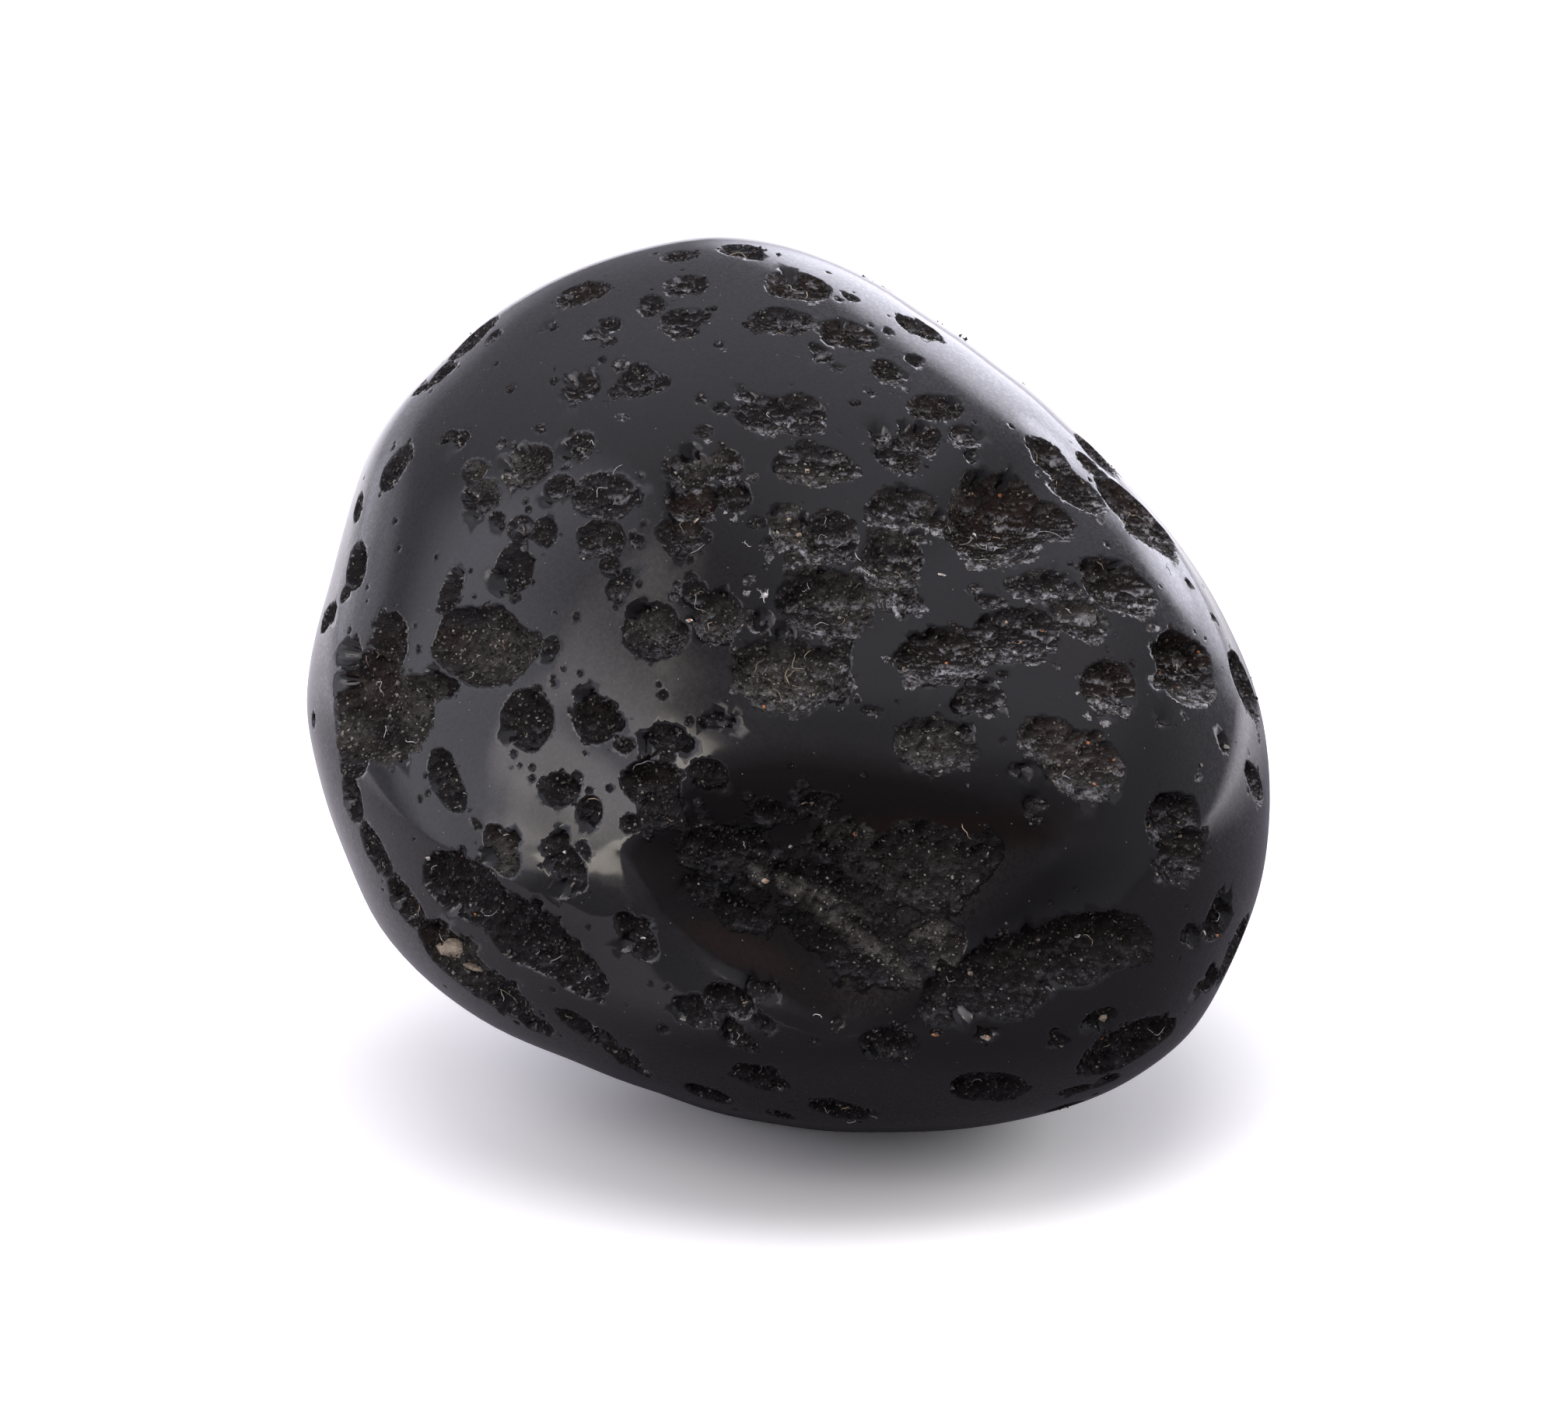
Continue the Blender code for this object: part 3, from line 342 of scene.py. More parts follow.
# Where the tumbling left the polish duller: across, up, half length, width, tilt, share.
DULLED = [
    (-5.2, 3.6, 4.8, 3.8, 0, 0.66), (9.2, -9.3, 3.9, 1.6, 20, 0.88),
    (9.6, -5.0, 3.4, 1.6, -15, 0.7), (3.0, -2.6, 5.5, 1.5, 0, 0.42),
    (-3.6, -1.2, 1.8, 1.2, 0, 0.6), (4.0, -13.7, 3.4, 1.0, 8, 0.92),
]

# Lint: where each thread starts and ends, and whether it is warm in colour.
LINT = [
    (-4.1, 5.3, -3.4, 5.75, 0), (1.5, 6.6, 1.75, 6.9, 0), (1.3, 5.95, 1.75, 6.1, 0),
    (3.0, 5.4, 3.2, 5.0, 0), (4.6, 4.55, 4.85, 4.05, 1), (0.9, 0.8, 1.3, 1.25, 1),
    (8.05, 5.8, 8.7, 5.5, 0), (5.95, 6.15, 6.3, 6.35, 0), (10.4, 6.0, 11.9, 5.95, 0),
    (7.4, -6.0, 7.95, -6.8, 1), (1.0, -14.4, 1.6, -14.4, 0), (-7.35, 8.7, -7.1, 9.1, 0),
    (-1.9, 5.95, -1.5, 5.7, 0), (1.6, -18.2, 2.0, -18.4, 0), (2.6, -18.95, 3.0, -18.8, 0),
    (3.6, -18.6, 3.9, -18.8, 0), (-1.2, 3.3, -0.7, 3.8, 0), (-1.1, 3.8, -0.8, 3.3, 0),
    (0.2, 0.5, 0.5, -0.3, 1), (-0.7, 0.6, -0.5, -0.1, 1), (0.1, -0.2, 0.6, 0.3, 1),
    (-0.6, -0.5, -0.2, -1.0, 1), (-1.3, 0.3, -0.9, 0.9, 1), (0.4, 1.1, 0.9, 0.4, 1),
]
STRAY_LINT = 170            # further threads, strewn in the pits
STRAY_LINT_REACH = 0.35
WARM_CHANCE = 0.4
LINT_INSET = 0.1            # they end at least this far inside the rims
LINT_RADIUS = 0.017
LINT_THICKNESS = (0.6, 1.3)     # against that
LINT_BEND, LINT_WAVER = 0.45, 0.12      # sideways, against its length
LINT_ARCH = (0.05, 0.25)                # and upwards
LINT_LIFT = 0.02
LINT_POINTS = 9
LINT_TIP = 0.4              # radius at its ends, against the rest

# Larger grains: across, up, length, width, and which of the grain colours.
PALE, BEIGE, ORANGE, WHITE = 0, 1, 2, 3
GRAIN_CORNERS = 16
GRAIN_SPOKES = (0.8, 1)
GRAIN_THICKNESS = 0.3       # half of it, against the grain's width
GRAIN_LIFT = 0.3            # of its middle above the floor, against that half
GRAINS = [
    (-14.2, -11.5, 1.6, 1.1, BEIGE), (-13.2, -12.2, 1.2, 0.9, BEIGE),
    (13.55, -14.4, 0.45, 0.42, BEIGE), (-3.8, 6.75, 0.36, 0.2, BEIGE),
    (-11.2, 4.05, 0.3, 0.2, PALE), (-15.3, -7.65, 0.35, 0.25, WHITE),
    (-13.8, -7.6, 0.2, 0.16, ORANGE), (-9.45, -7.35, 0.25, 0.2, WHITE),
    (-0.8, -8.6, 0.4, 0.28, BEIGE), (-4.45, -2.3, 0.2, 0.15, WHITE),
    (-6.1, -11.0, 0.3, 0.12, WHITE), (-1.75, -13.7, 0.3, 0.2, PALE),
    (0.95, 8.95, 0.35, 0.25, BEIGE), (2.2, 8.6, 0.2, 0.15, PALE), (-0.2, 9.6, 0.2, 0.2, PALE),
    (6.6, 4.65, 0.5, 0.16, WHITE), (7.95, 6.15, 0.25, 0.25, WHITE),
    (9.2, 7.85, 0.3, 0.22, ORANGE), (7.9, 7.85, 0.2, 0.15, ORANGE),
    (6.85, 0.6, 0.22, 0.18, ORANGE), (9.35, 2.35, 0.2, 0.2, BEIGE),
    (10.0, 1.6, 0.16, 0.14, ORANGE), (-4.1, 2.4, 0.35, 0.2, WHITE),
    (2.95, -6.6, 0.35, 0.25, ORANGE), (1.8, -8.5, 0.2, 0.15, PALE), (0.3, -7.2, 0.2, 0.2, PALE),
    (7.3, -2.4, 0.3, 0.22, PALE), (5.7, -3.65, 0.25, 0.2, PALE), (6.6, -3.9, 0.2, 0.18, PALE),
    (7.9, -12.6, 0.4, 0.2, WHITE), (8.5, -15.3, 0.5, 0.3, PALE), (6.4, -15.1, 0.4, 0.2, ORANGE),
    (11.0, 2.0, 0.2, 0.15, ORANGE), (12.35, -0.75, 0.25, 0.2, WHITE),
    (16.2, 1.6, 0.18, 0.15, ORANGE), (16.0, 0.3, 0.16, 0.14, ORANGE),
    (16.8, -0.4, 0.2, 0.15, ORANGE), (17.6, 1.2, 0.16, 0.14, ORANGE),
    (12.9, -2.85, 0.2, 0.18, ORANGE), (13.9, -3.4, 0.16, 0.14, ORANGE),
    (13.2, -4.5, 0.2, 0.16, ORANGE), (11.5, -4.35, 0.2, 0.16, BEIGE),
    (16.9, -6.75, 0.3, 0.22, BEIGE), (16.65, -6.2, 0.16, 0.14, BEIGE),
    (18.8, -2.9, 0.4, 0.35, PALE), (17.7, -3.7, 0.24, 0.2, PALE),
    (19.3, -2.7, 0.16, 0.14, PALE), (18.45, -11.0, 0.2, 0.16, ORANGE),
    (17.8, -10.8, 0.4, 0.25, WHITE), (12.35, -10.95, 0.42, 0.2, WHITE),
    (10.75, -11.2, 0.2, 0.15, PALE), (-0.95, 3.55, 0.45, 0.3, WHITE),
    (0.2, 6.9, 0.3, 0.25, BEIGE), (0.55, 6.2, 0.3, 0.25, BEIGE),
]

# ------------------------------------------------- where the camera stands
SENSOR = 36.0
VIEW_WIDTH = 67.2           # mm seen across at the stone's middle
AIM_ACROSS = -2 / 30        # the middle of the view, in the sighting plane
AIM_UP = -38 / 30

ACROSS, UP, NEAR = 0, 1, 2
TURN = 2 * math.pi
GOLDEN_ANGLE = math.pi * (3 - math.sqrt(5))


# ================================================================= the worn body
def unit(points):
    """The direction of each point from the middle."""
    return points / np.linalg.norm(points, axis=1)[:, None]


def polar_table(points):
    """Radius against angle, sampled round a smooth closed curve near the points."""
    angles = np.array([math.atan2(up, across) % TURN for across, up in points])
    radii = np.array([math.hypot(across, up) * (1 + LEAN * up / EYE_DISTANCE)
                      for across, up in points])
    order = np.argsort(angles)
    grid = np.linspace(0, TURN, RIM_STEPS, endpoint=False)
    table = np.interp(grid, angles[order], radii[order], period=TURN)
    return grid, smooth_round(table, RIM_SMOOTHING)


def smooth_round(table, degrees):
    """A table that runs once round, averaged over a bell this many degrees wide."""
    width = degrees * RIM_STEPS / 360
    reach = int(3 * width)
    bell = np.exp(-0.5 * (np.arange(-reach, reach + 1) / width) ** 2)
    padded = np.concatenate((table[-reach:], table, table[:reach]))
    return np.convolve(padded, bell / bell.sum(), mode="valid")


def ellipse_reach(across, up, mark):
    """How far each point lies from a mark's middle: 1 is on its edge."""
    middle_across, middle_up, half_length, half_width, tilt = mark
    along = (across - middle_across) * math.cos(tilt) + (up - middle_up) * math.sin(tilt)
    aside = (up - middle_up) * math.cos(tilt) - (across - middle_across) * math.sin(tilt)
    return np.hypot(along / half_length, aside / half_width)


def leaning(points):
    """The same points with the body leant back from the line of sight."""
    leant = points.copy()
    leant[:, NEAR] -= LEAN * points[:, UP]
    return leant


def seen(points):
    """Where the eye sees each point of the body on the sighting plane."""
    points = leaning(points)
    scale = EYE_DISTANCE / (EYE_DISTANCE - points[:, NEAR])
    return points[:, ACROSS] * scale, points[:, UP] * scale


def plain_body(ways):
    """Distance from the middle to the unmarked skin along each unit direction."""
    grid, rim_table = polar_table(OUTLINE)
    steady_table = smooth_round(rim_table, STEADY_SMOOTHING)
    angle = np.arctan2(ways[:, UP], ways[:, ACROSS]) % TURN
    near = ways[:, NEAR]
    level = np.sqrt(np.clip(1 - near ** 2, 1e-9, 1))
    steady = np.interp(angle, grid, steady_table, period=TURN)
    rim = np.interp(angle, grid, rim_table, period=TURN)
    radius = steady + (rim - steady) * level ** 3
    swell = np.where(near > 0, FRONT_SWELL, BACK_SWELL * (1 - BACK_TAPER * ways[:, UP]))
    lower = np.clip(-ways[:, UP] / level, 0, 1)
    power = PLAIN_POWER + LOWER_POWER * lower * level
    body = ((level / radius) ** power + (np.abs(near) / swell) ** power) ** (-1 / power)
    off_heel = np.arccos(np.clip(ways @ np.array(HEEL_WAY), -1, 1)) / HEEL_SPREAD
    return body + HEEL_HEIGHT * np.exp(-off_heel ** 2)


def hollowed(across, up):
    """How deep the dark hollow is at places on the sighting plane: 1 on its floor."""
    thinness = 0
    for corner, (next_across, next_up, _) in zip(HOLLOW, HOLLOW[1:] + HOLLOW[:1]):
        run, rise = next_across - corner[0], next_up - corner[1]
        inward = (run * (up - corner[1]) - rise * (across - corner[0])) / math.hypot(run, rise)
        thinness += np.maximum(inward / corner[2], 0.01) ** -HOLLOW_SHARPNESS
    share = np.clip(thinness ** (-1 / HOLLOW_SHARPNESS), 0, 1)
    return share * share * (3 - 2 * share)


def broad_wear(points):
    """Depth of the broad dishes less the swells, along each point's own radius."""
    across, up = seen(points)
    front = np.clip(points[:, NEAR] / DISH_FADE, 0, 1)
    worn_highlight = HOLLOW_DEPTH * front * hollowed(across, up)
    for *mark, tilt, depth, softness in DISHES:
        reach = ellipse_reach(across, up, (*mark, math.radians(tilt)))
        upper = np.clip(0.5 + (up - mark[1]) / (2 * mark[3]), 0, 1)
        dish = np.clip(1 - reach ** 2, 0, 1)
        worn_highlight += depth * front * dish ** (1 + softness * upper)
    for *mark, tilt, height in SWELLS:
        reach = ellipse_reach(across, up, (*mark, math.radians(tilt)))
        worn_highlight -= height * front * np.exp(-reach ** 2)
    return worn_highlight


def unevenness(points, span, seed):
    """A slow wander from -1 to 1 over the points, one wave about `span` long."""
    shift = Vector((seed, 2 * seed, 3 * seed))
    return np.array([noise.noise(Vector(point) / span + shift) for point in points])


def plain_skin(ways):
    """The worn skin without pits, on the sighting axes, along each unit direction."""
    plain = ways * plain_body(ways)[:, None]
    plain -= ways * broad_wear(plain)[:, None]
    wander = SKIN_WANDER * np.abs(ways[:, NEAR]) * unevenness(plain, SKIN_WAVE, SEED)
    return plain + ways * wander[:, None]


def upright(points):
    """From the sighting axes to world axes: x right, y away from the eye, z up."""
    across, up, near = points.T
    away = up * math.sin(EYE_RISE) - near * math.cos(EYE_RISE)
    height = up * math.cos(EYE_RISE) + near * math.sin(EYE_RISE)
    return np.column_stack((across, away, height))


# ================================================================= pits and bubbles
def bowl(reach):
    """Depth across a burst bubble, from 1 in its middle to 0 at its edge."""
    return np.clip(1 - reach ** PIT_FLOOR, 0, 1) ** PIT_WALL


def ragged_rims(points):
    """How far the rims wander at each point, as a share of a pit's size."""
    wander = RIM_WANDER * unevenness(points, RIM_WAVE, SEED + 1)
    return wander + RIM_FRINGE * unevenness(points, FRINGE_WAVE, SEED + 2)


class FrontPit:
    """A pit marked on the sighting plane."""

    def __init__(self, base, across, up, length, width, tilt, deep):
        self.mark = (across, up, length / 2, width / 2, math.radians(tilt))
        self.length, self.width, self.deep = length, width, deep
        base_across, base_up = seen(base)
        apart = np.hypot(base_across - across, base_up - up)
        apart[base[:, NEAR] <= 0] = FAR
        self.middle = base[np.argmin(apart)]

    def reach(self, points, sight, ragged):
        """The points near the pit, and how far each is from its middle."""
        across, up = sight
        close = self.length + RANGE_PAST_RIM
        nearby = np.flatnonzero((np.abs(across - self.mark[0]) < close)
                                & (np.abs(up - self.mark[1]) < close))
        flat = ellipse_reach(across[nearby], up[nearby], self.mark)
        inward = (points[nearby] - self.middle)[:, NEAR] / (PIT_REACH_IN * self.length)
        return nearby, np.hypot(flat, inward) * (1 + ragged[nearby])


class StrewnPit:
    """A pit laid on the hidden side by chance."""

    def __init__(self, base, way, length, width, turn):
        self.middle = base[np.argmax(unit(base) @ way)]
        self.length, self.width = length, width
        self.deep = PIT_DEPTH_SHARE * math.sqrt(length * width)
        self.side = np.cross(way, (0.0, 0.0, 1.0))
        self.side /= np.linalg.norm(self.side)
        self.rise = np.cross(self.side, way)
        self.mark = (0, 0, length / 2, width / 2, turn)

    def reach(self, points, _sight, ragged):
        """The points near the pit, and how far each is from its middle."""
        close = self.length + RANGE_PAST_RIM
        nearby = np.flatnonzero((np.abs(points - self.middle) < close).all(axis=1))
        offset = points[nearby] - self.middle
        flat = ellipse_reach(offset @ self.side, offset @ self.rise, self.mark)
        return nearby, flat * (1 + ragged[nearby])


def strewn_marks():
    """Pits strewn where the eye doesn't see: way, length, width, turn."""
    chance = random.Random(SEED)
    for place in range(HIDDEN_CLUSTERS):
        near = -(place + chance.random()) / HIDDEN_CLUSTERS
        angle = place * GOLDEN_ANGLE
        level = math.sqrt(1 - near * near)
        core = np.array((level * math.cos(angle), level * math.sin(angle), near))
        for _ in range(chance.choice(CLUSTER_SIZES)):
            scatter = [chance.gauss(0, CLUSTER_SPREAD) for _ in range(3)]
            length = SMALLEST_PIT + PIT_LENGTH_RANGE * chance.random() ** 2
            width = length * chance.uniform(*PIT_SLIMNESS)
            turn = chance.uniform(0, math.pi)
            way = core + scatter
            way /= np.linalg.norm(way)
            resting = way @ np.array(HEEL_WAY) > math.cos(REST_CLEAR)
            if way[NEAR] < 0 and not resting:
                yield way, length, width, turn


def all_pits(base):
    """Every pit large enough to be drawn by itself."""
    pits = [FrontPit(base, *row) for row in PITS]
    for across, up, length, width, tilt in SMALL_PITS:
        deep = SMALL_DEPTH_SHARE * math.sqrt(length * width)
        pits.append(FrontPit(base, across, up, length, width, tilt, deep))
    return pits + [StrewnPit(base, *mark) for mark in strewn_marks()]


def pit_depths(points, pits):
    """Depth below the skin, and distance inside the nearest rim, at each point."""
    sight, ragged = seen(points), ragged_rims(points)
    depth, inside = np.zeros(len(points)), np.full(len(points), -FAR)
    for pit in pits:
        nearby, reach = pit.reach(points, sight, ragged)
        half = math.sqrt(pit.length * pit.width) / 2
        inside[nearby] = np.maximum(inside[nearby], (1 - reach) * half)
        cut = pit.deep * bowl(np.minimum(reach, 1))
        depth[nearby] = np.maximum(depth[nearby], cut)
    return depth, inside


def pit_falls(points, pits):
    """How far down its own pit each point lies: -1 at the upper rim, 1 at the lower."""
    sight, ragged = seen(points), ragged_rims(points)
    fall, inside = np.zeros(len(points)), np.full(len(points), -FAR)
    for pit in pits:
        nearby, reach = pit.reach(points, sight, ragged)
        inner = (1 - reach) * math.sqrt(pit.length * pit.width) / 2
        nearest = inner > inside[nearby]
        chosen = nearby[nearest]
        inside[chosen] = inner[nearest]
        offset = points[chosen] - pit.middle
        offset /= np.linalg.norm(offset, axis=1)[:, None] + 1e-6
        fall[chosen] = offset @ np.array(DOWN_LIT) * np.minimum(reach[nearest], 1)
    return fall


def seeded_bubbles(base, pits):
    """Small bubbles along the rims, over the floors and strayed beside the pits.

    Each is its centre on the skin, its radius, how deep its centre lies, and
    whether it cuts the rim.
    """
    chance = random.Random(SEED + 5)
    sight, ragged = seen(base), ragged_rims(base)
    depth, _ = pit_depths(base, pits)
    bubbles = []

    def strew(reach_range, count, bubble, widest, cuts_rim):
        places = nearby[(reach > reach_range[0]) & (reach < reach_range[1])]
        smallest, largest, down = bubble
        largest = min(largest, widest)
        for _ in range(round(count) if len(places) else 0):
            place = places[chance.randrange(len(places))]
            centre = base[place] + [chance.gauss(0, JITTER) for _ in range(3)]
            radius = smallest + (largest - smallest) * chance.random() ** 2
            sink = down * radius + (0 if cuts_rim else depth[place])
            bubbles.append((centre, radius, sink, cuts_rim))

    for pit in pits:
        nearby, reach = pit.reach(base, sight, ragged)
        round_rim = math.pi * (pit.length + pit.width) / 2
        area = math.pi * pit.length * pit.width / 4
        strew(RIM_REACH, round_rim * RIM_BUBBLES_PER_MM, RIM_BUBBLE,
              WIDEST_RIM_BUBBLE * pit.width, True)
        strew(FLOOR_REACH, area * FLOOR_BUBBLES_PER_MM2, FLOOR_BUBBLE, FAR, False)
        strew(STRAY_REACH, round_rim * STRAY_BUBBLES_PER_MM, STRAY_BUBBLE, FAR, True)
    return bubbles


def search_tree(points, numbers):
    """A tree that finds those of the points that have these numbers."""
    tree = kdtree.KDTree(len(numbers))
    for number in numbers:
        tree.insert(points[number], int(number))
    tree.balance()
    return tree


def add_bubbles(points, bubbles, depth, inside):
    """The same depths and distances once the small bubbles are cut as well."""
    tree = search_tree(points, range(len(points)))
    for centre, radius, sink, cuts_rim in bubbles:
        margin = RANGE_PAST_RIM if cuts_rim else 0
        for _, number, gap in tree.find_range(centre, radius + margin):
            if cuts_rim:
                inside[number] = max(inside[number], radius - gap)
            if gap < radius:
                cut = sink + math.sqrt(radius * radius - gap * gap)
                depth[number] = max(depth[number], cut)
    return depth, inside


def carved(points, pits, bubbles):
    """Depth and distance inside the nearest rim, with every pit and bubble."""
    depth, inside = add_bubbles(points, bubbles, *pit_depths(points, pits))
    crumple = unevenness(points, CRUMPLE_WAVE, SEED + 3)
    depth += CRUMPLE * crumple * np.clip(inside / CRUMPLE_EDGE, 0, 1)
    return np.maximum(depth, 0), inside


def craggy(depth, inside):
    """The depths with every corner of the pits' floors thrown a little in or out."""
    throw = np.random.default_rng(SEED).uniform(-CRAG, CRAG, len(depth))
    return np.maximum(depth + throw * np.clip(inside / CRAG_EDGE - 1, 0, 1), 0)


# ================================================================= the refined skin
def round_blank(subdivisions):
    """Unit directions and faces of an even round mesh."""
    form = bmesh.new()
    bmesh.ops.create_icosphere(form, subdivisions=subdivisions, radius=1.0)
    ways = np.array([vertex.co[:] for vertex in form.verts])
    faces = np.array([[vertex.index for vertex in face.verts] for face in form.faces])
    form.free()
    return unit(ways), faces


def edges_of(faces):
    """Every edge once as a pair of corners, and each face's three edges by number."""
    pairs = np.sort(faces[:, [[0, 1], [1, 2], [2, 0]]].reshape(-1, 2), axis=1)
    count = pairs.max() + 1
    keys, numbers = np.unique(pairs[:, 0] * count + pairs[:, 1], return_inverse=True)
    return np.column_stack(divmod(keys, count)), numbers.reshape(-1, 3)


def cut_faces(faces, halves):
    """Faces cut at the middles of their edges: `halves` has a new corner or -1 for each."""
    marked = halves >= 0
    count = marked.sum(axis=1)
    first = np.where(count == 1, marked.argmax(axis=1), 0)
    first = np.where(count == 2, (marked.argmin(axis=1) + 1) % 3, first)
    turned = (first[:, None] + np.arange(3)) % 3
    a, b, c = np.take_along_axis(faces, turned, axis=1).T
    ab, bc, ca = np.take_along_axis(halves, turned, axis=1).T
    patterns = {
        0: [(a, b, c)],
        1: [(a, ab, c), (ab, b, c)],
        2: [(ab, b, bc), (a, ab, bc), (a, bc, c)],
        3: [(a, ab, ca), (ab, b, bc), (ca, bc, c), (ab, bc, ca)],
    }
    parts = [np.column_stack(corners)[count == number]
             for number, rows in patterns.items() for corners in rows]
    return np.concatenate(parts)


def longest_edge(points, inside):
    """The longest edge allowed at each point."""
    outside = np.maximum(-inside - RIM_BAND, 0)
    edge = np.minimum(RIM_EDGE + EDGE_GROWTH * outside, SKIN_EDGE)
    edge = np.where(inside > RIM_BAND, FLOOR_EDGE, edge)
    shown = 1
    coarseness = np.where(points[:, NEAR] > 0, shown, HIDDEN_COARSENESS * shown)
    return np.minimum(edge * coarseness, SKIN_EDGE)


def refined_skin(pits, bubbles):
    """Directions, faces, depths and distances inside the rims of a skin fine at its pits."""
    ways, faces = round_blank(BASE_SUBDIVISIONS)
    points = plain_skin(ways)
    depth, inside = carved(points, pits, bubbles)
    for _ in range(REFINING_PASSES):
        edges, sides = edges_of(faces)
        start, end = edges.T
        middles = unit(ways[start] + ways[end])
        length = np.linalg.norm(points[start] - points[end], axis=1)
        long_enough = np.flatnonzero(length > RIM_EDGE)
        middles = middles[long_enough]
        new_points = plain_skin(middles)
        new_depth, new_inside = carved(new_points, pits, bubbles)
        split = length[long_enough] > longest_edge(new_points, new_inside)
        if not split.any():
            break
        corner = np.full(len(edges), -1)
        corner[long_enough[split]] = len(ways) + np.arange(split.sum())
        faces = cut_faces(faces, corner[sides])
        ways = np.concatenate((ways, middles[split]))
        points = np.concatenate((points, new_points[split]))
        depth = np.concatenate((depth, new_depth[split]))
        inside = np.concatenate((inside, new_inside[split]))
    return points, faces, depth, inside


def sunk(points, depth):
    """The points moved this deep towards the middle."""
    return points - unit(points) * depth[:, None]


def placed(points, depth, flat):
    """World points, before they are set on the ground, with the worn flat cut."""
    world = upright(leaning(sunk(points, depth)))
    low = world[:, 2] < flat
    world[low] *= (flat / world[low, 2])[:, None]
    return world


def flat_height(base, pits):
    """How high the worn flat lies above the middle of the body: it is below it."""
    depth, _ = pit_depths(base, pits)
    return upright(leaning(sunk(base, depth)))[:, 2].min() + REST_CUT


def tell(mesh, attribute, values):
    """Keep one number for each corner, for the material to read."""
    made = mesh.attributes.new(attribute, "FLOAT", "POINT")
    made.data.foreach_set("value", np.asarray(values, dtype=np.float32))


def patched(across, up, patches):
    """How strongly each place lies within soft patches of the sighting plane."""
    share = np.zeros(len(across))
    for *mark, tilt, full in patches:
        reach = ellipse_reach(across, up, (*mark, math.radians(tilt)))
        share = np.maximum(share, full * np.clip(PATCH_FADE - reach, 0, 1))
    return share


def new_object(name, data):
    """An object in the scene that shows the data."""
    made = bpy.data.objects.new(name, data)
    bpy.context.collection.objects.link(made)
    return made


def new_piece(name, corners, faces, floats):
    """A mesh object from corners in metres, with the named values on its corners."""
    mesh = bpy.data.meshes.new(name)
    mesh.from_pydata(corners, [], faces.tolist())
    for attribute, values in floats.items():
        tell(mesh, attribute, values)
    return new_object(name, mesh)


class Skin:
    """The stone's fine skin: the object, and what its dirt needs to know of it."""

    def __init__(self):
        base = plain_skin(round_blank(SEEDING_SUBDIVISIONS)[0])
        pits = all_pits(base)
        points, faces, depth, inside = refined_skin(pits, seeded_bubbles(base, pits))
        depth = craggy(depth, inside)
        world = placed(points, depth, flat_height(base, pits))
        low, high = (np.array(corner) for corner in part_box("stone"))
        scale = (high - low) / np.ptp(world, axis=0)
        self.middle = low - world.min(axis=0) * scale
        self.corners = world * scale + self.middle
        self.inside = inside
        self.piece = new_piece("stone_skin", self.corners, faces,
                               {"inside": inside, "depth": depth})
        self.shade(faces)
        self.paint(points, pits)
        self.normals = np.zeros_like(self.corners)
        self.piece.data.vertex_normals.foreach_get("vector", self.normals.ravel())
        self.sight = np.column_stack(seen(sunk(points, depth)))
        self.to_eye = upright(np.array([[0.0, 0.0, 1.0]]))[0]
        self.shown = self.normals @ self.to_eye > SHOWN_FACING
        level = np.column_stack((self.sight, np.zeros(len(self.sight))))
        self.front = search_tree(level, np.flatnonzero(self.shown))

    def shade(self, faces):
        """Smooth polish, and craggy floors whose facets each catch the light."""
        smooth = self.inside[faces].min(axis=1) < CRAG_EDGE
        self.piece.data.polygons.foreach_set("use_smooth", smooth)

    def paint(self, points, pits):
        """Tell the material where the skin is lit, brown, glowing, or in the dark hollow's
        crust and painted shade.
        """
        across, up = seen(points)
        shown = points[:, NEAR] > 0
        level = LIT_LEVEL + LIT_ACROSS * np.where(shown, across, 0) + LIT_UP * up
        lit = np.clip(level - LIT_BELOW * np.maximum(LIT_HEIGHT - up, 0), LEAST_LIT, 1)
        self.crust_and_shade_share = hollowed(across, up) * shown
        told = {"fall": pit_falls(points, pits), "lit": lit,
                "brown": patched(across, up, BROWN_PATCHES) * shown,
                "glow": patched(across, up, GLOWS) * shown,
                "dusty": patched(across, up, PALE_PATCHES) * shown,
                "dulled": patched(across, up, DULLED) * shown,
                "crust_and_shade": self.crust_and_shade_share}
        for name, values in told.items():
            tell(self.piece.data, name, values)

    def under(self, across, up):
        """The number of the corner that the eye sees at a place."""
        return self.front.find((across, up, 0))[1]

    def paleness(self, numbers):
        """How dusty the skin is at some of its corners, from 0 to 1."""
        across, up = self.sight[numbers].T
        dust = patched(across, up, PALE_PATCHES) * self.shown[numbers]
        return np.maximum(dust, CLEANEST)


# ================================================================= crumbs, lint and grains
def turns(random_numbers, count):
    """Random rotation matrices."""
    w, x, y, z = (random_numbers.normal(size=(count, 4))).T
    long = np.sqrt(w * w + x * x + y * y + z * z)
    w, x, y, z = w / long, x / long, y / long, z / long
    rows = [[1 - 2 * (y * y + z * z), 2 * (x * y - z * w), 2 * (x * z + y * w)],
            [2 * (x * y + z * w), 1 - 2 * (x * x + z * z), 2 * (y * z - x * w)],
            [2 * (x * z - y * w), 2 * (y * z + x * w), 1 - 2 * (x * x + y * y)]]
    return np.array(rows).transpose(2, 0, 1)


